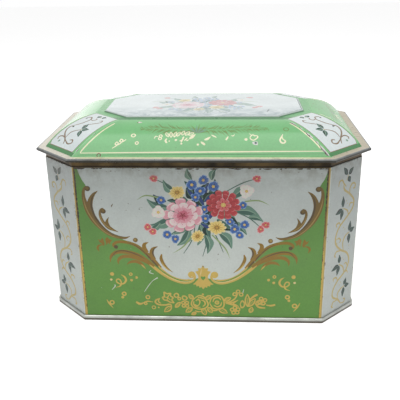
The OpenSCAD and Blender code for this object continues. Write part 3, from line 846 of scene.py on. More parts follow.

# %% Rusty rim and edges of the front
# dark band, larger chips and strokes along the top: partly rust, partly painted shade under the lid
rim_wear_and_shade = [(rectangle(-77, 105.55, 77, 107), "rust")]
rim_wear_and_shade += edge_wear(3, -76, 76, lambda t: (t, 105.6), 46, size=(0.3, 1.0), stretch=0.45)
rim_wear_and_shade += edge_wear(13, -76, 76, lambda t: (t, 104.4 - 1.2 * abs(math.sin(7.3 * t))), 14, ink="brown",
                      size=(0.2, 0.6), stretch=0.5)
rim_wear_and_shade += edge_wear(14, -75, -56, lambda t: (t, 105.2), 10, size=(0.7, 2.2), stretch=0.3)
rim_wear_and_shade += edge_wear(16, 12, 34, lambda t: (t, 105.3), 5, size=(0.6, 2.0), stretch=0.25)
rim_wear_and_shade += edge_wear(15, 58, 76, lambda t: (t, 105.2), 9, size=(0.6, 2.0), stretch=0.3)
for start, end in (
        (-15, -10), (-7.4, -4.4), (-2.6, -0.3), (6, 10.8), (20.4, 25), (35.2, 36.7), (38, 43), (47.6, 49)):
    rim_wear_and_shade += stroke("rust", (start, 105.1, 0.3), ((start + end) / 2, 105, 0.9), (end, 105.2, 0.3))
rim_wear_and_shade += edge_wear(4, 62, 104, lambda t: (-76.1, t), 66, size=(0.25, 0.75))
rim_wear_and_shade += edge_wear(5, 8, 62, lambda t: (-75.8, t), 36, ink="brown", size=(0.2, 0.5))
rim_wear_and_shade += edge_wear(6, 78, 105, lambda t: (76, t), 42, size=(0.25, 0.6))
rim_wear_and_shade += edge_wear(7, 5, 78, lambda t: (75.8, t), 34, ink="brown", size=(0.2, 0.5))
print("rim and edges:", len(rim_wear_and_shade), "marks")

# %% Scratches and specks of the front
scratches = draw(
    (stroke, "bare tin", (-28.2, 31.6, 0.8), (-31.4, 29.4, 0.35), (-34, 26.2, 0.45), (-37.2, 21.2, 0.3)),
    (line, "bare tin", 0.55, (-32.2, 36.8), (-33.4, 35.4), (-30.6, 34.2)),
    (stroke, "bare tin", (-56.4, 26.4, 0.2), (-56.2, 25, 0.6), (-58.4, 22.4, 0.2)),
    (stroke, "brown", (-54, 82.5, 0.2), (-54.6, 81.2, 0.7), (-55.2, 80.2, 0.2)),
    (stroke, "bare tin", (27, 24, 0.2), (26.6, 21.8, 0.4), (26.4, 21, 0.1)),
)
rng = random.Random(11)
for _ in range(26):
    speck_ink = "brown" if rng.random() < 0.5 else "bare tin"
    scratches += chip(rng, speck_ink, rng.uniform(-74, 74), rng.uniform(5, 104), rng.uniform(0.15, 0.3))
print("scratches:", len(scratches), "marks")

# %% [markdown]
# ## Laying the wall panels
#
# Each flat wall gets its own skin. A place function turns the drawing's millimetres into the wall's plane: along
# the wall to the right as seen from outside, and up.


# %% Wall planes
UP = Vector((0, 0, 1))
CORNER_MIDDLE = 22.27  # mm, how far a corner panel's middle lies beside its normal


def panel_axes(turn):
    """Outward normal, rightward direction and middle of a panel at so many degrees from the front."""
    normal = Matrix.Rotation(math.radians(turn), 3, "Z") @ Vector((0, -1, 0))
    return normal, UP.cross(normal), CORNER_MIDDLE * round(math.sin(math.radians(2 * turn)))


def wall_plane(turn, reach):
    """A place function for the flat wall at this turn and reach from the middle."""
    normal, along, middle = panel_axes(turn)

    def place(u, v):
        return normal * reach + along * (u + middle) + Vector((0, 0, v)), normal

    return place


FRONT_REACH, END_REACH, CORNER_REACH = 68.5, 100, 103.24  # mm from the middle to a wall
HALF_FRONT, HALF_END, HALF_CORNER = 76.7, 45.2, 15.12  # mm, half widths of the prints
print("wall normals:", [[round(c, 2) for c in panel_axes(turn)[0]] for turn in (0, 45, 90, 180)])

# %% Front and back
PRINT_SHIFT = 1.0  # mm, the front's picture sits a little to the right
SEAM = 0.35  # mm, half the gap at the lock seam in the back
frame_art = shape("wall white", *field) + both(scroll) + palmette
right_curls = moved(curls, dx=-1.2, dy=-0.8, flip=True) + moved(pair, dx=2.4, dy=-1.0, flip=True)
cartouche = frame_art + curls + pair + right_curls + garland
front_art = moved(cartouche + posy, dx=PRINT_SHIFT) + edges + scratches + rim_wear_and_shade
front_outline = rectangle(-HALF_FRONT, LOW, HALF_FRONT, TOP)
lay_print("front_print", "tin_body", front_outline, "wall green", front_art, wall_plane(0, FRONT_REACH))
back_art = cartouche + posy + edges
back_art += edge_wear(21, -76, 76, lambda t: (t, 105.7), 60, size=(0.3, 0.8), stretch=0.5)
for name, start, end in (("back_print_left", SEAM, HALF_FRONT), ("back_print_right", -HALF_FRONT, -SEAM)):
    back_outline = rectangle(start, LOW, end, TOP)
    lay_print(name, "tin_body", back_outline, "wall green", back_art, wall_plane(180, FRONT_REACH))

# %% [markdown]
# The two ends repeat the front's picture. They are narrower, so the frame and the posy are drawn smaller, with the
# field's top edge kept at the rim, and the garland and the curls move up to fill the green below.

# %% End walls
END_SCALE, RIM = 0.585, 106  # size of this picture, and mm up to the wall's edge
small = moved(frame_art + posy, dy=RIM * (1 - END_SCALE), scale=END_SCALE)
small += moved(garland, dx=-0.5, dy=14, scale=0.85) + moved(both(curls + pair), dy=18, scale=0.62)
small += edge_bands(44.2, 46)
for name, turn, seed in (("end_print_right", 90, 31), ("end_print_left", -90, 32)):
    wear = edge_wear(seed, -45, 45, lambda t: (t, 105.7), 40, size=(0.3, 0.8), stretch=0.5)
    end_outline = rectangle(-HALF_END, LOW, HALF_END, TOP)
    lay_print(name, "tin_body", end_outline, "wall green", small + wear, wall_plane(turn, END_REACH))

# %% [markdown]
# ## The corner panels
#
# Each narrow corner is white with a climbing vine in thin gold line and five three-leaved sprigs. The right front
# corner is drawn, and its neighbours are mirror images.


# %% Sprigs
def sprig(x, y, *tips, width=3.5, inks=("sprig green", "sprig dark", "dark leaf")):
    """Leaves from one bud to each of the tips."""
    art = []
    for tx, ty in tips:
        length, angle = math.dist((x, y), (tx, ty)), math.atan2(ty - y, tx - x)
        art += leaf(x + 0.8 * math.cos(angle), y + 0.8 * math.sin(angle), angle, length - 0.2, width, inks, bow=0)
    return art + dot("vine gold", x, y, 0.5)


print("a sprig of two leaves takes", len(sprig(0, 0, (0, 6), (5, 0))), "pieces")

# %% Vine
vine = line("vine gold", 1.4, (-1.8, 92.5), (-0.7, 88.4), (5, 84.3), (10, 79), (9.4, 73.6), (4, 69), (-2.9, 64.3),
            (-6.2, 59), (-5.8, 53), (-0.4, 47.3), (6.4, 43.2), (9.6, 37.8), (8.6, 32.2), (4.6, 28.4), (-1.7, 24.6),
            (-5.7, 19.3), (-5.2, 14.5), (0.4, 10.7), (4, 6.4))
for points in (
        ((-7, 91.6), (-6.4, 94.6), (-3.8, 95.2), (-1.8, 92.8), (0.9, 90)),
        ((5.2, 84.4), (5, 88), (7.2, 90.6), (10.2, 89.6), (10, 87), (8.2, 87.2)),
        ((5.4, 75.4), (6.6, 77.6), (9.6, 77)), ((5.2, 69.6), (4.2, 73), (0.2, 75.6)),
        ((-2.4, 64.8), (-3.8, 67), (-6.6, 66.6), (-6, 64.6)), ((2.9, 45.6), (1.6, 51.5), (3.6, 55.6), (7.2, 57.2)),
        ((-5.6, 55.8), (-3, 56.2), (-0.9, 54), (-2.4, 52.8)),
        ((-0.4, 46.6), (-4.6, 47.2), (-6.2, 44.6), (-4.8, 43.6)), ((5.2, 28.8), (3.7, 33.6), (-0.2, 36.6)),
        ((8.6, 32.6), (7, 35.6), (4.8, 35.2)), ((4.9, 28.4), (8, 29.4), (9.6, 27.2)),
        ((-1.2, 25), (-2.7, 28), (-5.8, 28.2), (-5.6, 26.2)), ((0.4, 10.8), (-0.1, 15.2), (2.8, 17.6), (6, 18.4)),
        ((0.5, 10.4), (-4.4, 10.4), (-5.4, 7), (-4, 6.6)), ((4, 6.4), (7.6, 6), (8.4, 8.2), (6.4, 9)),
        ((2.2, 96.4), (0.8, 94))):
    vine += line("vine gold", 1.1, *points)
for x, y in (
        (2.4, 80.2), (3.6, 78.2), (1.4, 62.4), (2.8, 60.8), (8.6, 47.6), (2.2, 40.6), (3.6, 39), (2.4, 22.8),
        (1.2, 21.2), (-4.6, 53), (-6.2, 8)):
    vine += dot("vine gold", x, y, 0.42)
vine += draw(
    (sprig, 2, 97, (-2.4, 102.6), (6.8, 101), (4.6, 92.6)),
    (sprig, -0.8, 75.8, (-1.4, 83.6), (-7.8, 73.8), (-2.4, 69)),
    (sprig, 7.6, 57.2, (8.2, 64.4), (12.6, 59.2), (8, 49.8)),
    (sprig, -0.6, 37, (-0.8, 43.4), (-8, 34.8), (-2.2, 29.8)),
    (sprig, 6.2, 18.6, (8, 23.6), (11.4, 18.2), (5.6, 11.4)),
)
print("vine:", len(vine), "shapes")

# %% Corner walls
for name, turn, flip, seed in (
        ("corner_print_front_right", 45, False, 41), ("corner_print_front_left", -45, True, 42),
        ("corner_print_back_right", 135, True, 43), ("corner_print_back_left", -135, False, 44)):
    wear = edge_wear(seed, -15, 15, lambda t: (t, 105.7), 14, size=(0.25, 0.7), stretch=0.5)
    wear += edge_wear(seed + 10, 5, 105, lambda t: (15.0, t), 10, ink="brown", size=(0.15, 0.35))
    art, corner_outline = moved(vine, flip=flip) + wear, rectangle(-HALF_CORNER, LOW, HALF_CORNER, TOP)
    lay_print(name, "tin_body", corner_outline, "wall white", art, wall_plane(turn, CORNER_REACH))

# %% [markdown]
# ## The lid's vaulted panels
#
# The pressed lid rises in eight vaults to a flat top. A vault is part of a cylinder, so its drawing is made on the
# unrolled sheet, u along the foot and v up the arc, and bent when it is laid. Cross cuts at equal heights let the
# skin follow the arc, and neighbours share those heights, so that they meet along the hips without a gap.

# %% Vault arcs
FOOT_Z, RISE, RING_Z = 112.4, 15.7, 128.0  # mm, height of the foot, rise of the arc, height of the ring
VAULTS = {"side": (67.6, 37.1), "end": (99.1, 68.1), "corner": (102.34, 61.34)}  # mm, reach of the foot and centre
STEPS = 26  # bands up a vault
ROOT2 = 2 ** 0.5
heights = [FOOT_Z + (RING_Z - FOOT_Z) * (1 - (1 - k / STEPS) ** 2) for k in range(STEPS + 1)]


def vault_arc(kind):
    """Radius, angle at the foot, and height and distance of the arc's centre."""
    foot, centre = VAULTS[kind]
    radius = ((foot - centre) ** 2 + RISE ** 2) / (2 * RISE)
    low = FOOT_Z + RISE - radius
    return radius, math.atan2(FOOT_Z - low, foot - centre), low, centre


def reach_at(kind, z):
    """How far from the lid's middle the vault stands at a height."""
    radius, _, low, centre = vault_arc(kind)
    return centre + math.sqrt(radius ** 2 - (z - low) ** 2)


def arc_at(kind, z):
    """How far up the unrolled sheet a height lies."""
    radius, start, low, _ = vault_arc(kind)
    return (math.asin((z - low) / radius) - start) * radius


print("vault radii in mm:", {kind: round(vault_arc(kind)[0], 1) for kind in VAULTS})


# %% Bending and outlines of the vaults
def vault_place(kind, turn):
    """A place function that bends the sheet over the vault at this turn."""
    normal, along, middle = panel_axes(turn)
    radius, start, low, centre = vault_arc(kind)

    def place(u, v):
        angle = start + v / radius
        out = normal * math.cos(angle) + UP * math.sin(angle)
        return normal * centre + UP * low + out * radius + along * (u + middle), out

    return place


def vault_outline(kind):
    """Outline up the right hip and down the left, and the cross cuts between their points."""
    half = []
    for z in heights:
        corner = reach_at("corner", z)
        if kind == "corner":
            half.append((CORNER_MIDDLE - corner + ROOT2 * reach_at("side", z),
                         ROOT2 * reach_at("end", z) - corner - CORNER_MIDDLE))
        else:
            half.append((ROOT2 * corner - reach_at(kind, z),) * 2)
    rises = [arc_at(kind, z) for z in heights]
    outline = [(right_side, v) for (_, right_side), v in zip(half, rises)]
    outline += [(-left_side, v) for (left_side, _), v in zip(reversed(half), reversed(rises))]
    return outline, [(k, 2 * STEPS + 1 - k) for k in range(1, STEPS)]


for kind in VAULTS:
    outline, _ = vault_outline(kind)
    print(kind, "foot", [round(c, 2) for c in outline[0]], "ring", [round(c, 2) for c in outline[STEPS]])

# %% [markdown]
# ## The lid's front and back
#
# A cream line frames each long side, and inside it lies a gilt spray that is half rubbed away: loose leaves, drops
# and curls in cream, and above them a fern in olive whose gilt is gone. The fern is two feathered fronds from one
# root.


# %% Frame line
def hip_line(kind, inset_low, inset_top, side, low=3.0, top=30.0):
    """A frame line beside a hip, as points up the arc."""
    outline, _ = vault_outline(kind)
    rises = [p for p in outline[:STEPS + 1] if low <= p[1] <= top]
    return [(side * (u - inset_low + (inset_low - inset_top) * (v - low) / (top - low)), v) for u, v in rises]


lid_frame = line("cream", 0.95, (-72, 2.3), (0, 3.0), (74.4, 3.6), step=4)
lid_frame += line("cream", 0.85, (74.4, 3.6), *hip_line("side", 1.8, 2.2, 1, 4.4, 28))
lid_frame += line("cream", 0.85, (-72, 2.3), *hip_line("side", 3.2, 2.6, -1, 3.2, 28))
lid_frame += line("lid deep green", 0.5, (-73.6, 1.0), (0, 1.4), (74, 1.9), step=4)
print("lid frame:", len(lid_frame), "shapes")

# %% Spray
spray = draw(
    (line, "cream", 0.75, (-52.8, 5.4), (-50.4, 7.2), (-49.4, 9), (-50.5, 9.8), (-51.2, 8.2), (-49.6, 7.8),
     (-47.6, 9.4), (-46.7, 11.2), (-47.9, 11.9), (-48.5, 10.2), (-46.8, 10), (-44.8, 11.8)),
    (hoop, "cream", -40.7, 14.9, 1.2, 0.75), (hoop, "cream", -38.1, 9.1, 0.9, 0.7),
    (dot, "pale olive", -38.1, 9.1, 0.5), (hoop, "cream", -24, 14.4, 0.9, 0.7),
    (hoop, "cream", -24.3, 12.4, 0.9, 0.7), (line, "cream", 0.7, (-27.8, 12.4), (-27, 14.2), (-25.4, 13.6)),
)
for x, y, angle, length, width in (
        (-19.2, 13.6, 2.0, 4.2, 1.8), (-17.6, 13.2, 1.65, 4.8, 1.8), (-15.8, 13.4, 1.35, 4.8, 1.8),
        (-14.2, 14, 1.1, 4.4, 1.8), (-11, 15, 1.3, 4, 2), (-9.2, 14.8, 0.95, 4.4, 2), (-7.2, 15, 0.6, 4, 2)):
    spray += line_leaf(x, y, angle, length, width, "cream", 0.6)
for drop in (
        ((-20.2, 12.4, 0.6), (-20.9, 10.8, 1.2), (-20, 9.2, 1.0)),
        ((-12.4, 10.6, 0.3), (-11.2, 11, 1.0), (-10, 11.6, 0.2)),
        ((-11.4, 9.4, 0.3), (-11, 11, 1.1), (-10, 12.6, 0.2)),
        ((-10.6, 11.4, 0.3), (-10.3, 12.8, 1.1), (-9.8, 14, 0.2)),
        ((-9.6, 10.8, 0.3), (-8.6, 11.8, 1.1), (-7.8, 13, 0.2)),
        ((-8.4, 10.8, 0.3), (-7.6, 11, 0.9), (-6.8, 11.8, 0.2)),
        ((-6.6, 12, 0.7), (-4.9, 13.7, 2.1), (-3, 15.8, 0.4)), ((0.4, 10, 0.4), (1.6, 9, 1.5), (3, 7.8, 1.1)),
        ((2.6, 11.4, 0.9), (4.4, 12.2, 1.7), (6.2, 13.8, 0.3)),
        ((6.6, 15.4, 0.2), (8, 14.4, 1.0), (9.8, 13.2, 0.4)),
        ((15.4, 11.2, 0.9), (16.2, 12.6, 1.1), (16.8, 14.2, 0.2)),
        ((18.6, 14.8, 0.3), (19.8, 14.4, 0.7), (20.6, 15.8, 0.2))):
    spray += stroke("cream", *drop)
for x, y, r in ((-18.6, 10.5, 0.5), (-14.6, 11.3, 0.8), (-11.2, 8.6, 0.65), (-1.3, 8, 0.75), (27.5, 11.7, 1.0)):
    spray += dot("cream", x, y, r)
spray += draw(
    (line, "cream", 0.75, (29.8, 13), (30.6, 11.6), (32.2, 11.2), (33.6, 12.2), (34.6, 13.8), (33.6, 14.7),
     (32.6, 14.4), (31.8, 15.4), (30.6, 14.6), (29.8, 13)),
    (line, "cream", 0.6, (29.4, 16.4), (31, 14.8)),
    (shape, "cream", (49.6, 16), (48, 13.4), (47.2, 11.2), (48, 9.1), (49.8, 8.5), (51.2, 9.6), (51, 11.1),
     (49.8, 12), (49.3, 13.6)),
    (shape, "lid green", (48.7, 12.6), (48.2, 10.9), (48.9, 9.8), (50, 9.6), (50.3, 10.6), (49.4, 11.3)),
    (hoop, "olive", 51.7, 20.2, 1.5, 0.6),
)
print("spray:", len(spray), "shapes")


# %% Fern
def leaflet(ink, x, y, lean, length, half):
    """A narrow leaf with four corners."""
    at_leaf = set_at(x, y, lean)
    return patch(ink, *[at_leaf(u * length, v * half) for u, v in ((0, 0), (0.4, 1), (1, 0), (0.4, -1))])


fern = []
rng = random.Random(58)
for side, length in ((-1, 35), (1, 43)):
    outward = 0 if side > 0 else math.pi
    for i in range(2 * length):
        t = i / (2 * length)
        x, y = -2 + side * length * t, 20.6 - 0.9 * math.sin(math.tau * t)
        long = 7.6 * math.sin(math.pi * (0.2 + 0.72 * t)) * rng.uniform(0.6, 1.1)
        lean = outward + (-1) ** i * rng.uniform(0.5, 1.15)
        fern += leaflet(rng.choice(("olive", "olive", "pale olive")), x, y, lean, long, rng.uniform(0.3, 0.5))
for i in range(14):
    fern += leaflet("sprig light" if i % 3 else "olive", -2, 16.6, 0.25 + i * 0.2, rng.uniform(6, 11), 0.4)
spray = fern + spray
for seed, *spot in ((60, "bare tin", 33, 9, 2.1, 0.85), (61, "dark leaf", 33.2, 9.1, 1.0, 0.9),
                    (62, "pale pink", -38.4, 28.6, 1.6, 0.6), (63, "brown", -39.6, 28.2, 0.7, 0.8)):
    spray += chip(random.Random(seed), *spot)
print("fern:", len(fern), "leaves")

# %% [markdown]
# The hips, where two vaults meet, are what hands and shelves rub. A lighter line runs along each, partly rubbed
# paint and partly a painted highlight on the crease, broken by marks down to the tin that rust along one side.

# %% Worn hips, front and back
hip_u, hip_v = zip(*vault_outline("side")[0][:STEPS + 1])


def hip_wear(side, *marks):
    """Rubbed marks along a hip, each from start to end up the arc, with a rusty rim, over a pale line that is
    partly rub and partly painted highlight.
    """
    # the pale line along the hip: partly rubbed paint, partly painted highlight
    art = stroke("hip light", *[(side * (u - 0.3), v, 0.6) for u, v in zip(hip_u, hip_v)], step=3)
    for start, end, width in marks:
        path = []
        for k in range(6):
            v = start + (end - start) * k / 5
            u = float(np.interp(v, hip_v, hip_u)) - 0.4 * width
            path.append((side * u, v, width * (0.15 if k in (0, 5) else 0.75 + 0.25 * math.sin(7 * v))))
        art += stroke("rust", *[(x - side * 0.4, v, 0.9 * w) for x, v, w in path])
        art += stroke("bare tin", *path)
        if width > 1.2:
            art += stroke("rust", *[(x - side * 0.35 * w, v, 0.5 * w * abs(math.sin(2.1 * v))) for x, v, w in path])
    return art


lid_side = lid_frame + spray
lid_side += hip_wear(1, (0.5, 7.5, 1.9), (8.6, 10.4, 1.0), (12.6, 17, 1.8), (20, 22, 1.0), (24, 28, 1.5))
lid_side += hip_wear(-1, (3, 5.4, 0.5), (15, 17, 0.4))
outline, cuts = vault_outline("side")
worn_spot = hoop("brown", -60.6, 0.9, 1.1, 0.6)
lay_print("lid_print_front", "lid", outline, "lid green", lid_side + worn_spot, vault_place("side", 0), cuts)
lay_print("lid_print_back", "lid", outline, "lid green", lid_side, vault_place("side", 180), cuts)

# %% [markdown]
# ## The lid's ends
#
# The ends have the same frame line and a smaller spray. The varnish of the right end is rubbed dull and scuffed, so
# it mirrors less of the bright room: its material is a copy of the print's with little gloss and no clear coat.

# %% Lid ends
end_art = line("cream", 0.95, (-40.4, 3.0), (0, 3.0), (40.4, 3.0), step=4)
for side in (1, -1):
    end_art += line("cream", 0.85, (side * 40.4, 3.0), *hip_line("end", 3.9, 1.6, side, 4, 29))
end_art += moved(spray, scale=0.62, dy=4)
rng = random.Random(59)
scuffs = []
for _ in range(90):
    scuff_ink = rng.choice(("olive", "vine brown", "hip light"))
    scuffs += chip(rng, scuff_ink, rng.uniform(-38, 38), rng.uniform(14, 36), rng.uniform(0.2, 0.8), 0.6)
outline, cuts = vault_outline("end")
lay_print("lid_print_left", "lid", outline, "lid green", end_art, vault_place("end", -90), cuts)
right_end = lay_print("lid_print_right", "lid", outline, "lid green", end_art + scuffs, vault_place("end", 90),
                      cuts)
dull_print = print_material.copy()
dull_print.name = "rubbed_lithographed_tinplate"
tree = dull_print.node_tree
feed(tree, tree.nodes["Principled BSDF"], {"Specular IOR Level": 0.12, "Coat Weight": 0.0})
right_end.data.materials[0] = dull_print
print(right_end.name, "->", dull_print.name)

# %% [markdown]
# ## The lid's corners
#
# Each corner vault has a white tile with a thin brown outline, set a little into the green, and a vine like that of
# the walls but in brown. One tile is drawn, and its neighbours are mirror images.

# %% Corner tile and vine
outline, cuts = vault_outline("corner")
rising = [(u, v) for u, v in outline if v >= 2.8]
tile = [(-13.2, 2.8), (13, 2.8)] + [(u - (1.2 if u > 0 else -2.2), v) for u, v in rising[1:-1]]
lid_vine = patch("lid white", *tile) + outline_of("vine brown", 0.45, *tile, tile[0])
lid_vine += draw(
    (line, "vine brown", 1.0, (1, 6), (3.6, 9.5), (9, 13.5), (11.4, 17.2), (11, 20.4), (8.6, 20.6)),
    (line, "vine brown", 1.0, (3, 9.2), (-2.6, 7), (-5.6, 8.4), (-4, 10.6), (-1.6, 9.8)),
    (line, "vine brown", 1.0, (5.2, 10.4), (8.6, 11), (11, 9.4), (9.8, 7.6)),
    (line, "vine brown", 0.95, (4.3, 11), (4.4, 16), (-0.6, 20)),
    (line, "vine brown", 0.95, (10.6, 21), (6.6, 25), (4.6, 30.6), (6.6, 34), (9.6, 33.6), (9.4, 31)),
    (line, "vine brown", 0.85, (5, 32), (1.6, 31.4), (0.6, 33.6), (2.4, 35)),
    (line, "vine brown", 0.85, (2, 24), (-3, 28), (-6.6, 31.4), (-5.4, 34), (-3.6, 32.6)),
)
lid_leaf = {"width": 3.5, "inks": ("dark leaf", "sprig green", "light leaf")}
lid_vine += sprig(-0.9, 20, (-0.4, 26.4), (-6.4, 22), (-5.4, 14.6), **lid_leaf)
lid_vine += sprig(0.6, 37, (4.6, 37.8), (-2.6, 38.4), **lid_leaf)
lid_vine += dot("sprig green", 8.8, 20.6, 0.8) + dot("sprig green", 9.6, 32, 0.7) + dot("sprig light", 7.4, 7, 0.9)
print("lid vine:", len(lid_vine), "shapes")

# %% Lid corners
foot = [(rectangle(-20, -1, 20, 2.6), "lid deep green")]
for name, turn, flip in (("lid_print_front_right", 45, False), ("lid_print_front_left", -45, True),
                         ("lid_print_back_right", 135, True), ("lid_print_back_left", -135, False)):
    edge = [(-u, v) for u, v in reversed(outline)] if flip else outline
    lay_print(name, "lid", edge, "lid green", foot + moved(lid_vine, flip=flip), vault_place("corner", turn), cuts)

# %% [markdown]
# ## The lid's top
#
# The flat top is white, with a posy that the sun has bleached almost away: each ink is mixed with the ground, the
# blues the most. Grey rubs lie along its front. A dark line at the right end and its front corner is painted shade
# on the step.


# %% Faded top
def faded(code, ground, share):
    """A hex colour mixed with so large a share of the ground."""
    pairs = [(int(code[i:i + 2], 16), int(ground[i:i + 2], 16)) for i in (1, 3, 5)]
    return "#" + "".join("%02X" % round(a * (1 - share) + b * share) for a, b in pairs)


for ink_name in list(INK):
    bleached = 0.72 if "blue" in ink_name else 0.45 if ink_name in ("yellow", "amber") else 0.55
    INK["faded " + ink_name] = faded(INK[ink_name], INK["lid white"], bleached)
print(len(INK), "inks with the faded ones")

# %% Top panel
TOP_SIDE, TOP_END, TOP_CORNER, TOP_Z = 33.9, 64.9, 58.14, 129.2  # mm, reach of its edges, and height
POSY_MIDDLE, TOP_SCALE = 78, 0.95
cut_x, cut_y = ROOT2 * TOP_CORNER - TOP_SIDE, ROOT2 * TOP_CORNER - TOP_END
near_half = [(-TOP_END, -cut_y), (-cut_x, -TOP_SIDE), (cut_x, -TOP_SIDE), (TOP_END, -cut_y)]
top_outline = near_half[1:] + [(-x, -y) for x, y in near_half] + near_half[:1]
top_posy = moved(posy, dy=-POSY_MIDDLE * TOP_SCALE, scale=TOP_SCALE)
top_art = [(points, "faded " + ink_name) for points, ink_name in top_posy]
top_art += edge_wear(71, -50, 50, lambda t: (t, -32 + 15 * abs(math.sin(12.9 * t)) ** 2), 130, ink="top grey",
                     size=(0.3, 1.3), stretch=0.5)
top_art += edge_wear(72, -60, 60, lambda t: (t, -33.6 + 2.5 * abs(math.sin(9.7 * t))), 60, ink="top grey",
                     size=(0.4, 1.6), stretch=0.45)
top_art += draw(
    (stroke, "rust", (41.6, -23.5, 0.3), (42.4, -20.5, 0.9), (43.2, -16.5, 0.3)),
    # painted shade: dark lines along the step at the front corner and the right end
    (line, "dark leaf", 0.8, (cut_x - 6, 0.4 - TOP_SIDE), (cut_x, 0.4 - TOP_SIDE)),
    (line, "dark leaf", 1.0, (cut_x, 0.5 - TOP_SIDE), (TOP_END - 0.5, -cut_y)),
    (line, "dark leaf", 1.1, (TOP_END - 0.5, -cut_y), (TOP_END - 0.5, cut_y)),
)
lay_print("lid_print_top", "lid", top_outline, "lid white", top_art, lambda u, v: (Vector((u, v, TOP_Z)), UP))

# %% [markdown]
# ## Finishes of the metal parts
#
# The CAD nodes keep their shapes. Their facets are smoothed by a weld and a split at sharp edges, and each gets the
# finish of its metal.

# %% Smooth the metal parts
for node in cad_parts.values():
    node.data.polygons.foreach_set("use_smooth", [True] * len(node.data.polygons))
    weld = node.modifiers.new("weld", "WELD")
    weld.merge_threshold = 0.002 * MM
    split = node.modifiers.new("sharp edges", "EDGE_SPLIT")
    split.split_angle = math.radians(28)
print(len(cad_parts), "metal parts smoothed")

# %% [markdown]
# ### Bare tinplate
#
# Tinned steel, rolled and dipped, is bright and slightly blue-grey when new. Age dulls it in clouds of a centimetre
# and speckles it brown where the tin is worn through. The very foot of the seam is painted dark, partly dirt and
# partly painted shade where the tin meets the floor.

# %% Bare tinplate
tin, tree, shader = new_material("aged_tinplate")
at = add(tree, "TexCoord").outputs["Object"]
cloud = add(tree, "TexNoise", {"Vector": at, "Scale": 1 / 0.009, "Detail": 4.0})
rusty = add(tree, "TexNoise", {"Vector": at, "Scale": 1 / 0.003, "Detail": 4.0, "Roughness": 0.7})
tone = add(tree, "Mix", {0: cloud, 6: "#848784", 7: "#C6C8C2"}, data_type="RGBA")
rust_here = add(tree, "MapRange", {0: rusty, 1: 0.62, 2: 0.74, 3: 0.0, 4: 0.8})
spotted = add(tree, "Mix", {0: rust_here, 6: tone, 7: "#6B5A45"}, data_type="RGBA")
rough = add(tree, "MapRange", {0: cloud, 1: 0.3, 2: 0.7, 3: 0.48, 4: 0.3})
shine = add(tree, "MapRange", {0: rust_here, 1: 0.0, 2: 0.8, 3: 1.0, 4: 0.2})
bump = add(tree, "Bump", {"Height": rusty, "Strength": 0.15, "Distance": 0.0002})
height = add(tree, "SeparateXYZ", {0: at}).outputs["Z"]
# painted dark at the foot: dirt and painted shade by the floor
foot_grime_and_shadow = add(tree, "MapRange", {0: height, 1: 0.0014, 2: 0.0022, 3: 0.92, 4: 0.0})
colour = add(tree, "Mix", {0: foot_grime_and_shadow, 6: spotted, 7: "#4B463C"}, data_type="RGBA")
feed(tree, shader, {"Base Color": colour, "Metallic": shine, "Roughness": rough, "Normal": bump})
print(tin.name, len(tree.nodes), "nodes")

# %% [markdown]
# ### Hinges and wire
#
# The hinge leaves are thicker plate than the walls: grey, smeared and brown-spotted, with only a dull sheen left.
# Drawn wire, in the pins and in the lid's rolled edge, has fine marks and a grey that is darker than tin. A colour
# ramp sets the two ends of a smear's tone, each at its own place.

# %% Hinge tinplate
hinge_plate, tree, shader = new_material("worn_hinge_tinplate")
at = add(tree, "TexCoord").outputs["Object"]
smear = add(tree, "TexNoise", {"Vector": at, "Scale": 1 / 0.006, "Detail": 6.0, "Roughness": 0.7})
tone = add(tree, "ValToRGB", {0: smear})
for element, spot, code in zip(tone.color_ramp.elements, (0.3, 0.7), ("#4C443A", "#96938A")):
    element.position, element.color = spot, linear(code)
rough = add(tree, "MapRange", {0: smear, 1: 0.3, 2: 0.7, 3: 0.6, 4: 0.35})
bump = add(tree, "Bump", {"Height": smear, "Strength": 0.2, "Distance": 0.0003})
feed(tree, shader, {"Base Color": tone, "Metallic": 0.85, "Roughness": rough, "Normal": bump})
print(hinge_plate.name, len(tree.nodes), "nodes")

# %% Steel wire
wire, tree, shader = new_material("drawn_steel_wire")
at = add(tree, "TexCoord").outputs["Object"]
marks = add(tree, "TexNoise", {"Vector": at, "Scale": 1 / 0.0008, "Detail": 3.0})
tone = add(tree, "Mix", {0: marks, 6: "#77797A", 7: "#B4B6B5"}, data_type="RGBA")
rough = add(tree, "MapRange", {0: marks, 1: 0.3, 2: 0.7, 3: 0.28, 4: 0.42})
feed(tree, shader, {"Base Color": tone, "Metallic": 1.0, "Roughness": rough})
print(wire.name, len(tree.nodes), "nodes")

# %% [markdown]
# ### Gold lacquer
#
# The neck has a thin brown-gold lacquer over the tin. Metal shows through it, darker where it pooled or was
# stained. Its tones are kept dark as painted shade under the lid's overhang. A dark band under the lid is painted
# shade, and one by the wall is partly grime and partly painted shade.

# %% Gold lacquer
lacquer, tree, shader = new_material("gold_lacquer_on_tin")
at = add(tree, "TexCoord").outputs["Object"]
stain = add(tree, "TexNoise", {"Vector": at, "Scale": 1 / 0.014, "Detail": 5.0, "Roughness": 0.6})
# the ramp's dark tones: stains, and painted shade under the lid
tone = add(tree, "ValToRGB", {0: stain})
for element, spot, code in zip(tone.color_ramp.elements, (0.3, 0.72), ("#1D1810", "#5C4B2E")):
    element.position, element.color = spot, linear(code)
height = add(tree, "SeparateXYZ", {0: at}).outputs["Z"]
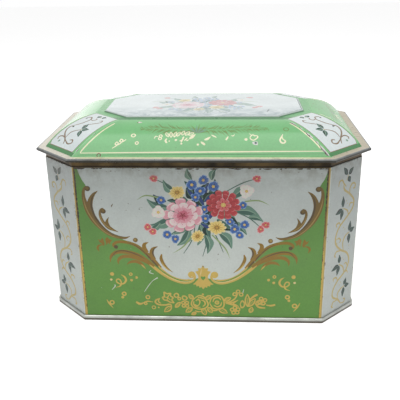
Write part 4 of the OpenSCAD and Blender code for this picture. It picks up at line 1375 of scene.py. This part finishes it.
# dark bands: by the wall grime and painted shade, under the lid painted shade
by_wall = add(tree, "MapRange", {0: height, 1: 0.1063, 2: 0.1072, 3: 0.85, 4: 0.0})
shade_under_lid = add(tree, "MapRange", {0: height, 1: 0.1092, 2: 0.1102, 3: 0.0, 4: 0.75})
grime_and_shade_mask = add(tree, "Math", {0: by_wall, 1: shade_under_lid}, operation="MAXIMUM")
grime_and_shade = add(tree, "Mix", {0: grime_and_shade_mask, 6: tone, 7: "#14110D"}, data_type="RGBA")
rough = add(tree, "MapRange", {0: stain, 1: 0.3, 2: 0.7, 3: 0.5, 4: 0.3})
feed(tree, shader, {"Base Color": grime_and_shade, "Metallic": 0.75, "Roughness": rough})
print(lacquer.name, len(tree.nodes), "nodes")

# %% [markdown]
# ### The wall's own sheet
#
# Outside, the wall shows only at its bends, between the prints: gold beside the wide panels, white beside the
# corners, and worn. Inside it is lacquered. The two sides are told apart by the normal, which points away from the
# middle outside.

# %% Body wall
LACQUER = ("#7C6236", "#BE9B58")
wall, tree, shader = new_material("tinplate_wall_gold_edges")
texture = add(tree, "TexCoord")
at = texture.outputs["Object"]
flat_place = add(tree, "VectorMath", {0: at, 1: (1, 1, 0)}, operation="MULTIPLY")
facing = add(tree, "VectorMath", {0: flat_place, 1: texture.outputs["Normal"]}, operation="DOT_PRODUCT")
outside = add(tree, "Math", {0: facing, 1: 0.0}, operation="GREATER_THAN")
worn = add(tree, "TexNoise", {"Vector": at, "Scale": 1 / 0.004, "Detail": 5.0, "Roughness": 0.7})
worn_here = add(tree, "MapRange", {0: worn, 1: 0.54, 2: 0.66, 3: 0.0, 4: 0.8})
unsigned = add(tree, "VectorMath", {0: texture.outputs["Normal"]}, operation="ABSOLUTE")
turned = add(tree, "SeparateXYZ", {0: unsigned})
square = add(tree, "Math", {0: turned.outputs["X"], 1: turned.outputs["Y"]}, operation="MAXIMUM")
by_wide = add(tree, "MapRange", {0: square, 1: 0.90, 2: 0.93, 3: 0.0, 4: 1.0})
edge_gold = add(tree, "Mix", {0: by_wide, 6: INK["wall white"], 7: "#AD9554"}, data_type="RGBA")
gilt = add(tree, "Mix", {0: worn_here, 6: edge_gold, 7: "#5A4E3A"}, data_type="RGBA")
stain = add(tree, "TexNoise", {"Vector": at, "Scale": 1 / 0.02, "Detail": 4.0})
inner = add(tree, "Mix", {0: stain, 6: LACQUER[0], 7: LACQUER[1]}, data_type="RGBA")
colour = add(tree, "Mix", {0: outside, 6: inner, 7: gilt}, data_type="RGBA")
metal = add(tree, "MapRange", {0: outside, 3: 0.75, 4: 0.15})
rough = add(tree, "MapRange", {0: worn, 1: 0.3, 2: 0.7, 3: 0.35, 4: 0.55})
feed(tree, shader, {"Base Color": colour, "Metallic": metal, "Roughness": rough})
print(wall.name, len(tree.nodes), "nodes")

# %% [markdown]
# ### The lid's own sheet
#
# Round the prints, the pressed lid shows a cream brim, a rolled edge rubbed to the metal, a green ring and the
# white step of the top panel, and lacquer inside. Each is a matter of place: how far a point reaches past the
# wall's outline, how high it lies, and which way it faces. Masks of these choose between the finishes.

# %% Lid pressing: where each finish lies
pressing, tree, shader = new_material("lid_pressing_tinplate")
texture = add(tree, "TexCoord")
at = texture.outputs["Object"]
size = add(tree, "VectorMath", {0: at}, operation="ABSOLUTE")
axis = add(tree, "SeparateXYZ", {0: size})
facing = add(tree, "SeparateXYZ", {0: texture.outputs["Normal"]}).outputs["Z"]
long_reach = add(tree, "Math", {0: axis.outputs["X"], 1: 0.1}, operation="SUBTRACT")
deep_reach = add(tree, "Math", {0: axis.outputs["Y"], 1: 0.0685}, operation="SUBTRACT")
both_ways = add(tree, "Math", {0: axis.outputs["X"], 1: axis.outputs["Y"]}, operation="ADD")
slant_reach = add(tree, "Math", {0: both_ways, 1: 0.7071, 2: -0.10324}, operation="MULTIPLY_ADD")
square_reach = add(tree, "Math", {0: long_reach, 1: deep_reach}, operation="MAXIMUM")
reach = add(tree, "Math", {0: square_reach, 1: slant_reach}, operation="MAXIMUM")
rolled = add(tree, "MapRange", {0: reach, 1: 0.0033, 2: 0.0036, 3: 0.0, 4: 1.0})
below = add(tree, "Math", {0: facing, 1: -0.05}, operation="LESS_THAN")
inside_rim = add(tree, "Math", {0: reach, 1: 0.0023}, operation="LESS_THAN")
inside = add(tree, "Math", {0: below, 1: inside_rim}, operation="MULTIPLY")
on_ring = add(tree, "Math", {0: axis.outputs["Z"], 1: 0.1130}, operation="GREATER_THAN")
on_step = add(tree, "Math", {0: axis.outputs["Z"], 1: 0.12812}, operation="GREATER_THAN")
print(pressing.name, len(tree.nodes), "nodes for the masks")

# %% Lid pressing: brim
cloud = add(tree, "TexNoise", {"Vector": at, "Scale": 1 / 0.005, "Detail": 5.0, "Roughness": 0.65})
stain = add(tree, "MapRange", {0: cloud, 1: 0.5, 2: 0.72, 3: 0.0, 4: 0.7})
stained = add(tree, "Mix", {0: stain, 6: "#DAD2B4", 7: "#8F826A"}, data_type="RGBA")
along = add(tree, "SeparateXYZ", {0: at}).outputs["X"]
# painted light and shade: the brim's left end is paler, lit from the left, and its right end browner
right_half = add(tree, "MapRange", {0: along, 1: -0.02, 2: 0.02, 3: 0.0, 4: 1.0})
end_tone_lit_left = add(tree, "Mix", {0: right_half, 6: "#D3CCC0", 7: "#A99D88"}, data_type="RGBA")
by_end = add(tree, "MapRange", {0: axis.outputs["X"], 1: 0.070, 2: 0.080, 3: 0.0, 4: 0.8})
cream = add(tree, "Mix", {0: by_end, 6: stained, 7: end_tone_lit_left}, data_type="RGBA")
by_foot = add(tree, "MapRange", {0: reach, 1: -0.0002, 2: 0.0001, 3: 1.0, 4: 0.0})
long_side = add(tree, "Math", {0: axis.outputs["Y"], 1: 0.0672}, operation="GREATER_THAN")
green_foot = add(tree, "Math", {0: by_foot, 1: long_side}, operation="MULTIPLY")
brim = add(tree, "Mix", {0: green_foot, 6: cream, 7: INK["lid green"]}, data_type="RGBA")
print(pressing.name, len(tree.nodes), "nodes with the brim")

# %% Lid pressing: ring, step, rolled edge and inside
# painted shade: the ring is deeper green along the front and back
front_back_shade = add(tree, "MapRange", {0: axis.outputs["Y"], 1: 0.031, 2: 0.0355, 3: 0.0, 4: 1.0})
ring_tone_shaded = add(tree, "Mix", {0: front_back_shade, 6: "#6FAF74", 7: "#4E8757"}, data_type="RGBA")
ring = add(tree, "Mix", {0: on_ring, 6: brim, 7: ring_tone_shaded}, data_type="RGBA")
# painted shade: the step of the top panel is dark green low down and white above
step_shade_level = add(tree, "MapRange", {0: axis.outputs["Z"], 1: 0.1285, 2: 0.1290, 3: 0.0, 4: 1.0})
step_white_shaded_low = add(tree, "Mix", {0: step_shade_level, 6: "#4F7558", 7: "#CFD8D6"}, data_type="RGBA")
step_colour = add(tree, "Mix", {0: on_step, 6: ring, 7: step_white_shaded_low}, data_type="RGBA")
bright = add(tree, "Mix", {0: stain, 6: "#7E8282", 7: "#504B41"}, data_type="RGBA")
# grime and painted shade: the rolled edge darkens where it turns from the sky
grime_and_shade = add(tree, "MapRange", {0: facing, 1: 0.05, 2: 0.8, 3: 0.95, 4: 0.0})
silver = add(tree, "Mix", {0: grime_and_shade, 6: bright, 7: "#2C2A24"}, data_type="RGBA")
edged = add(tree, "Mix", {0: rolled, 6: step_colour, 7: silver}, data_type="RGBA")
gold = add(tree, "Mix", {0: cloud, 6: LACQUER[0], 7: LACQUER[1]}, data_type="RGBA")
colour = add(tree, "Mix", {0: inside, 6: edged, 7: gold}, data_type="RGBA")
bare = add(tree, "Math", {0: rolled, 1: inside}, operation="MAXIMUM")
metal = add(tree, "Math", {0: bare, 1: 0.8}, operation="MULTIPLY")
rough = add(tree, "MapRange", {0: cloud, 1: 0.3, 2: 0.7, 3: 0.24, 4: 0.4})
feed(tree, shader, {"Base Color": colour, "Metallic": metal, "Roughness": rough})
print(pressing.name, len(tree.nodes), "nodes")

# %% [markdown]
# Each metal part takes one of these finishes by its name: pins and the rim's wire are wire, and what isn't listed
# is a hinge leaf.

# %% Give the metal parts their finishes
finishes = {"body_band": wall, "neck_collar": lacquer, "base_plate": tin, "lid_shell": pressing,
            "lid_rim_wire": wire}
for name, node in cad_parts.items():
    finish = finishes.get(name, wire if name.endswith("pin") else hinge_plate)
    node.data.materials.clear()
    node.data.materials.append(finish)
    print(name, "->", finish.name)
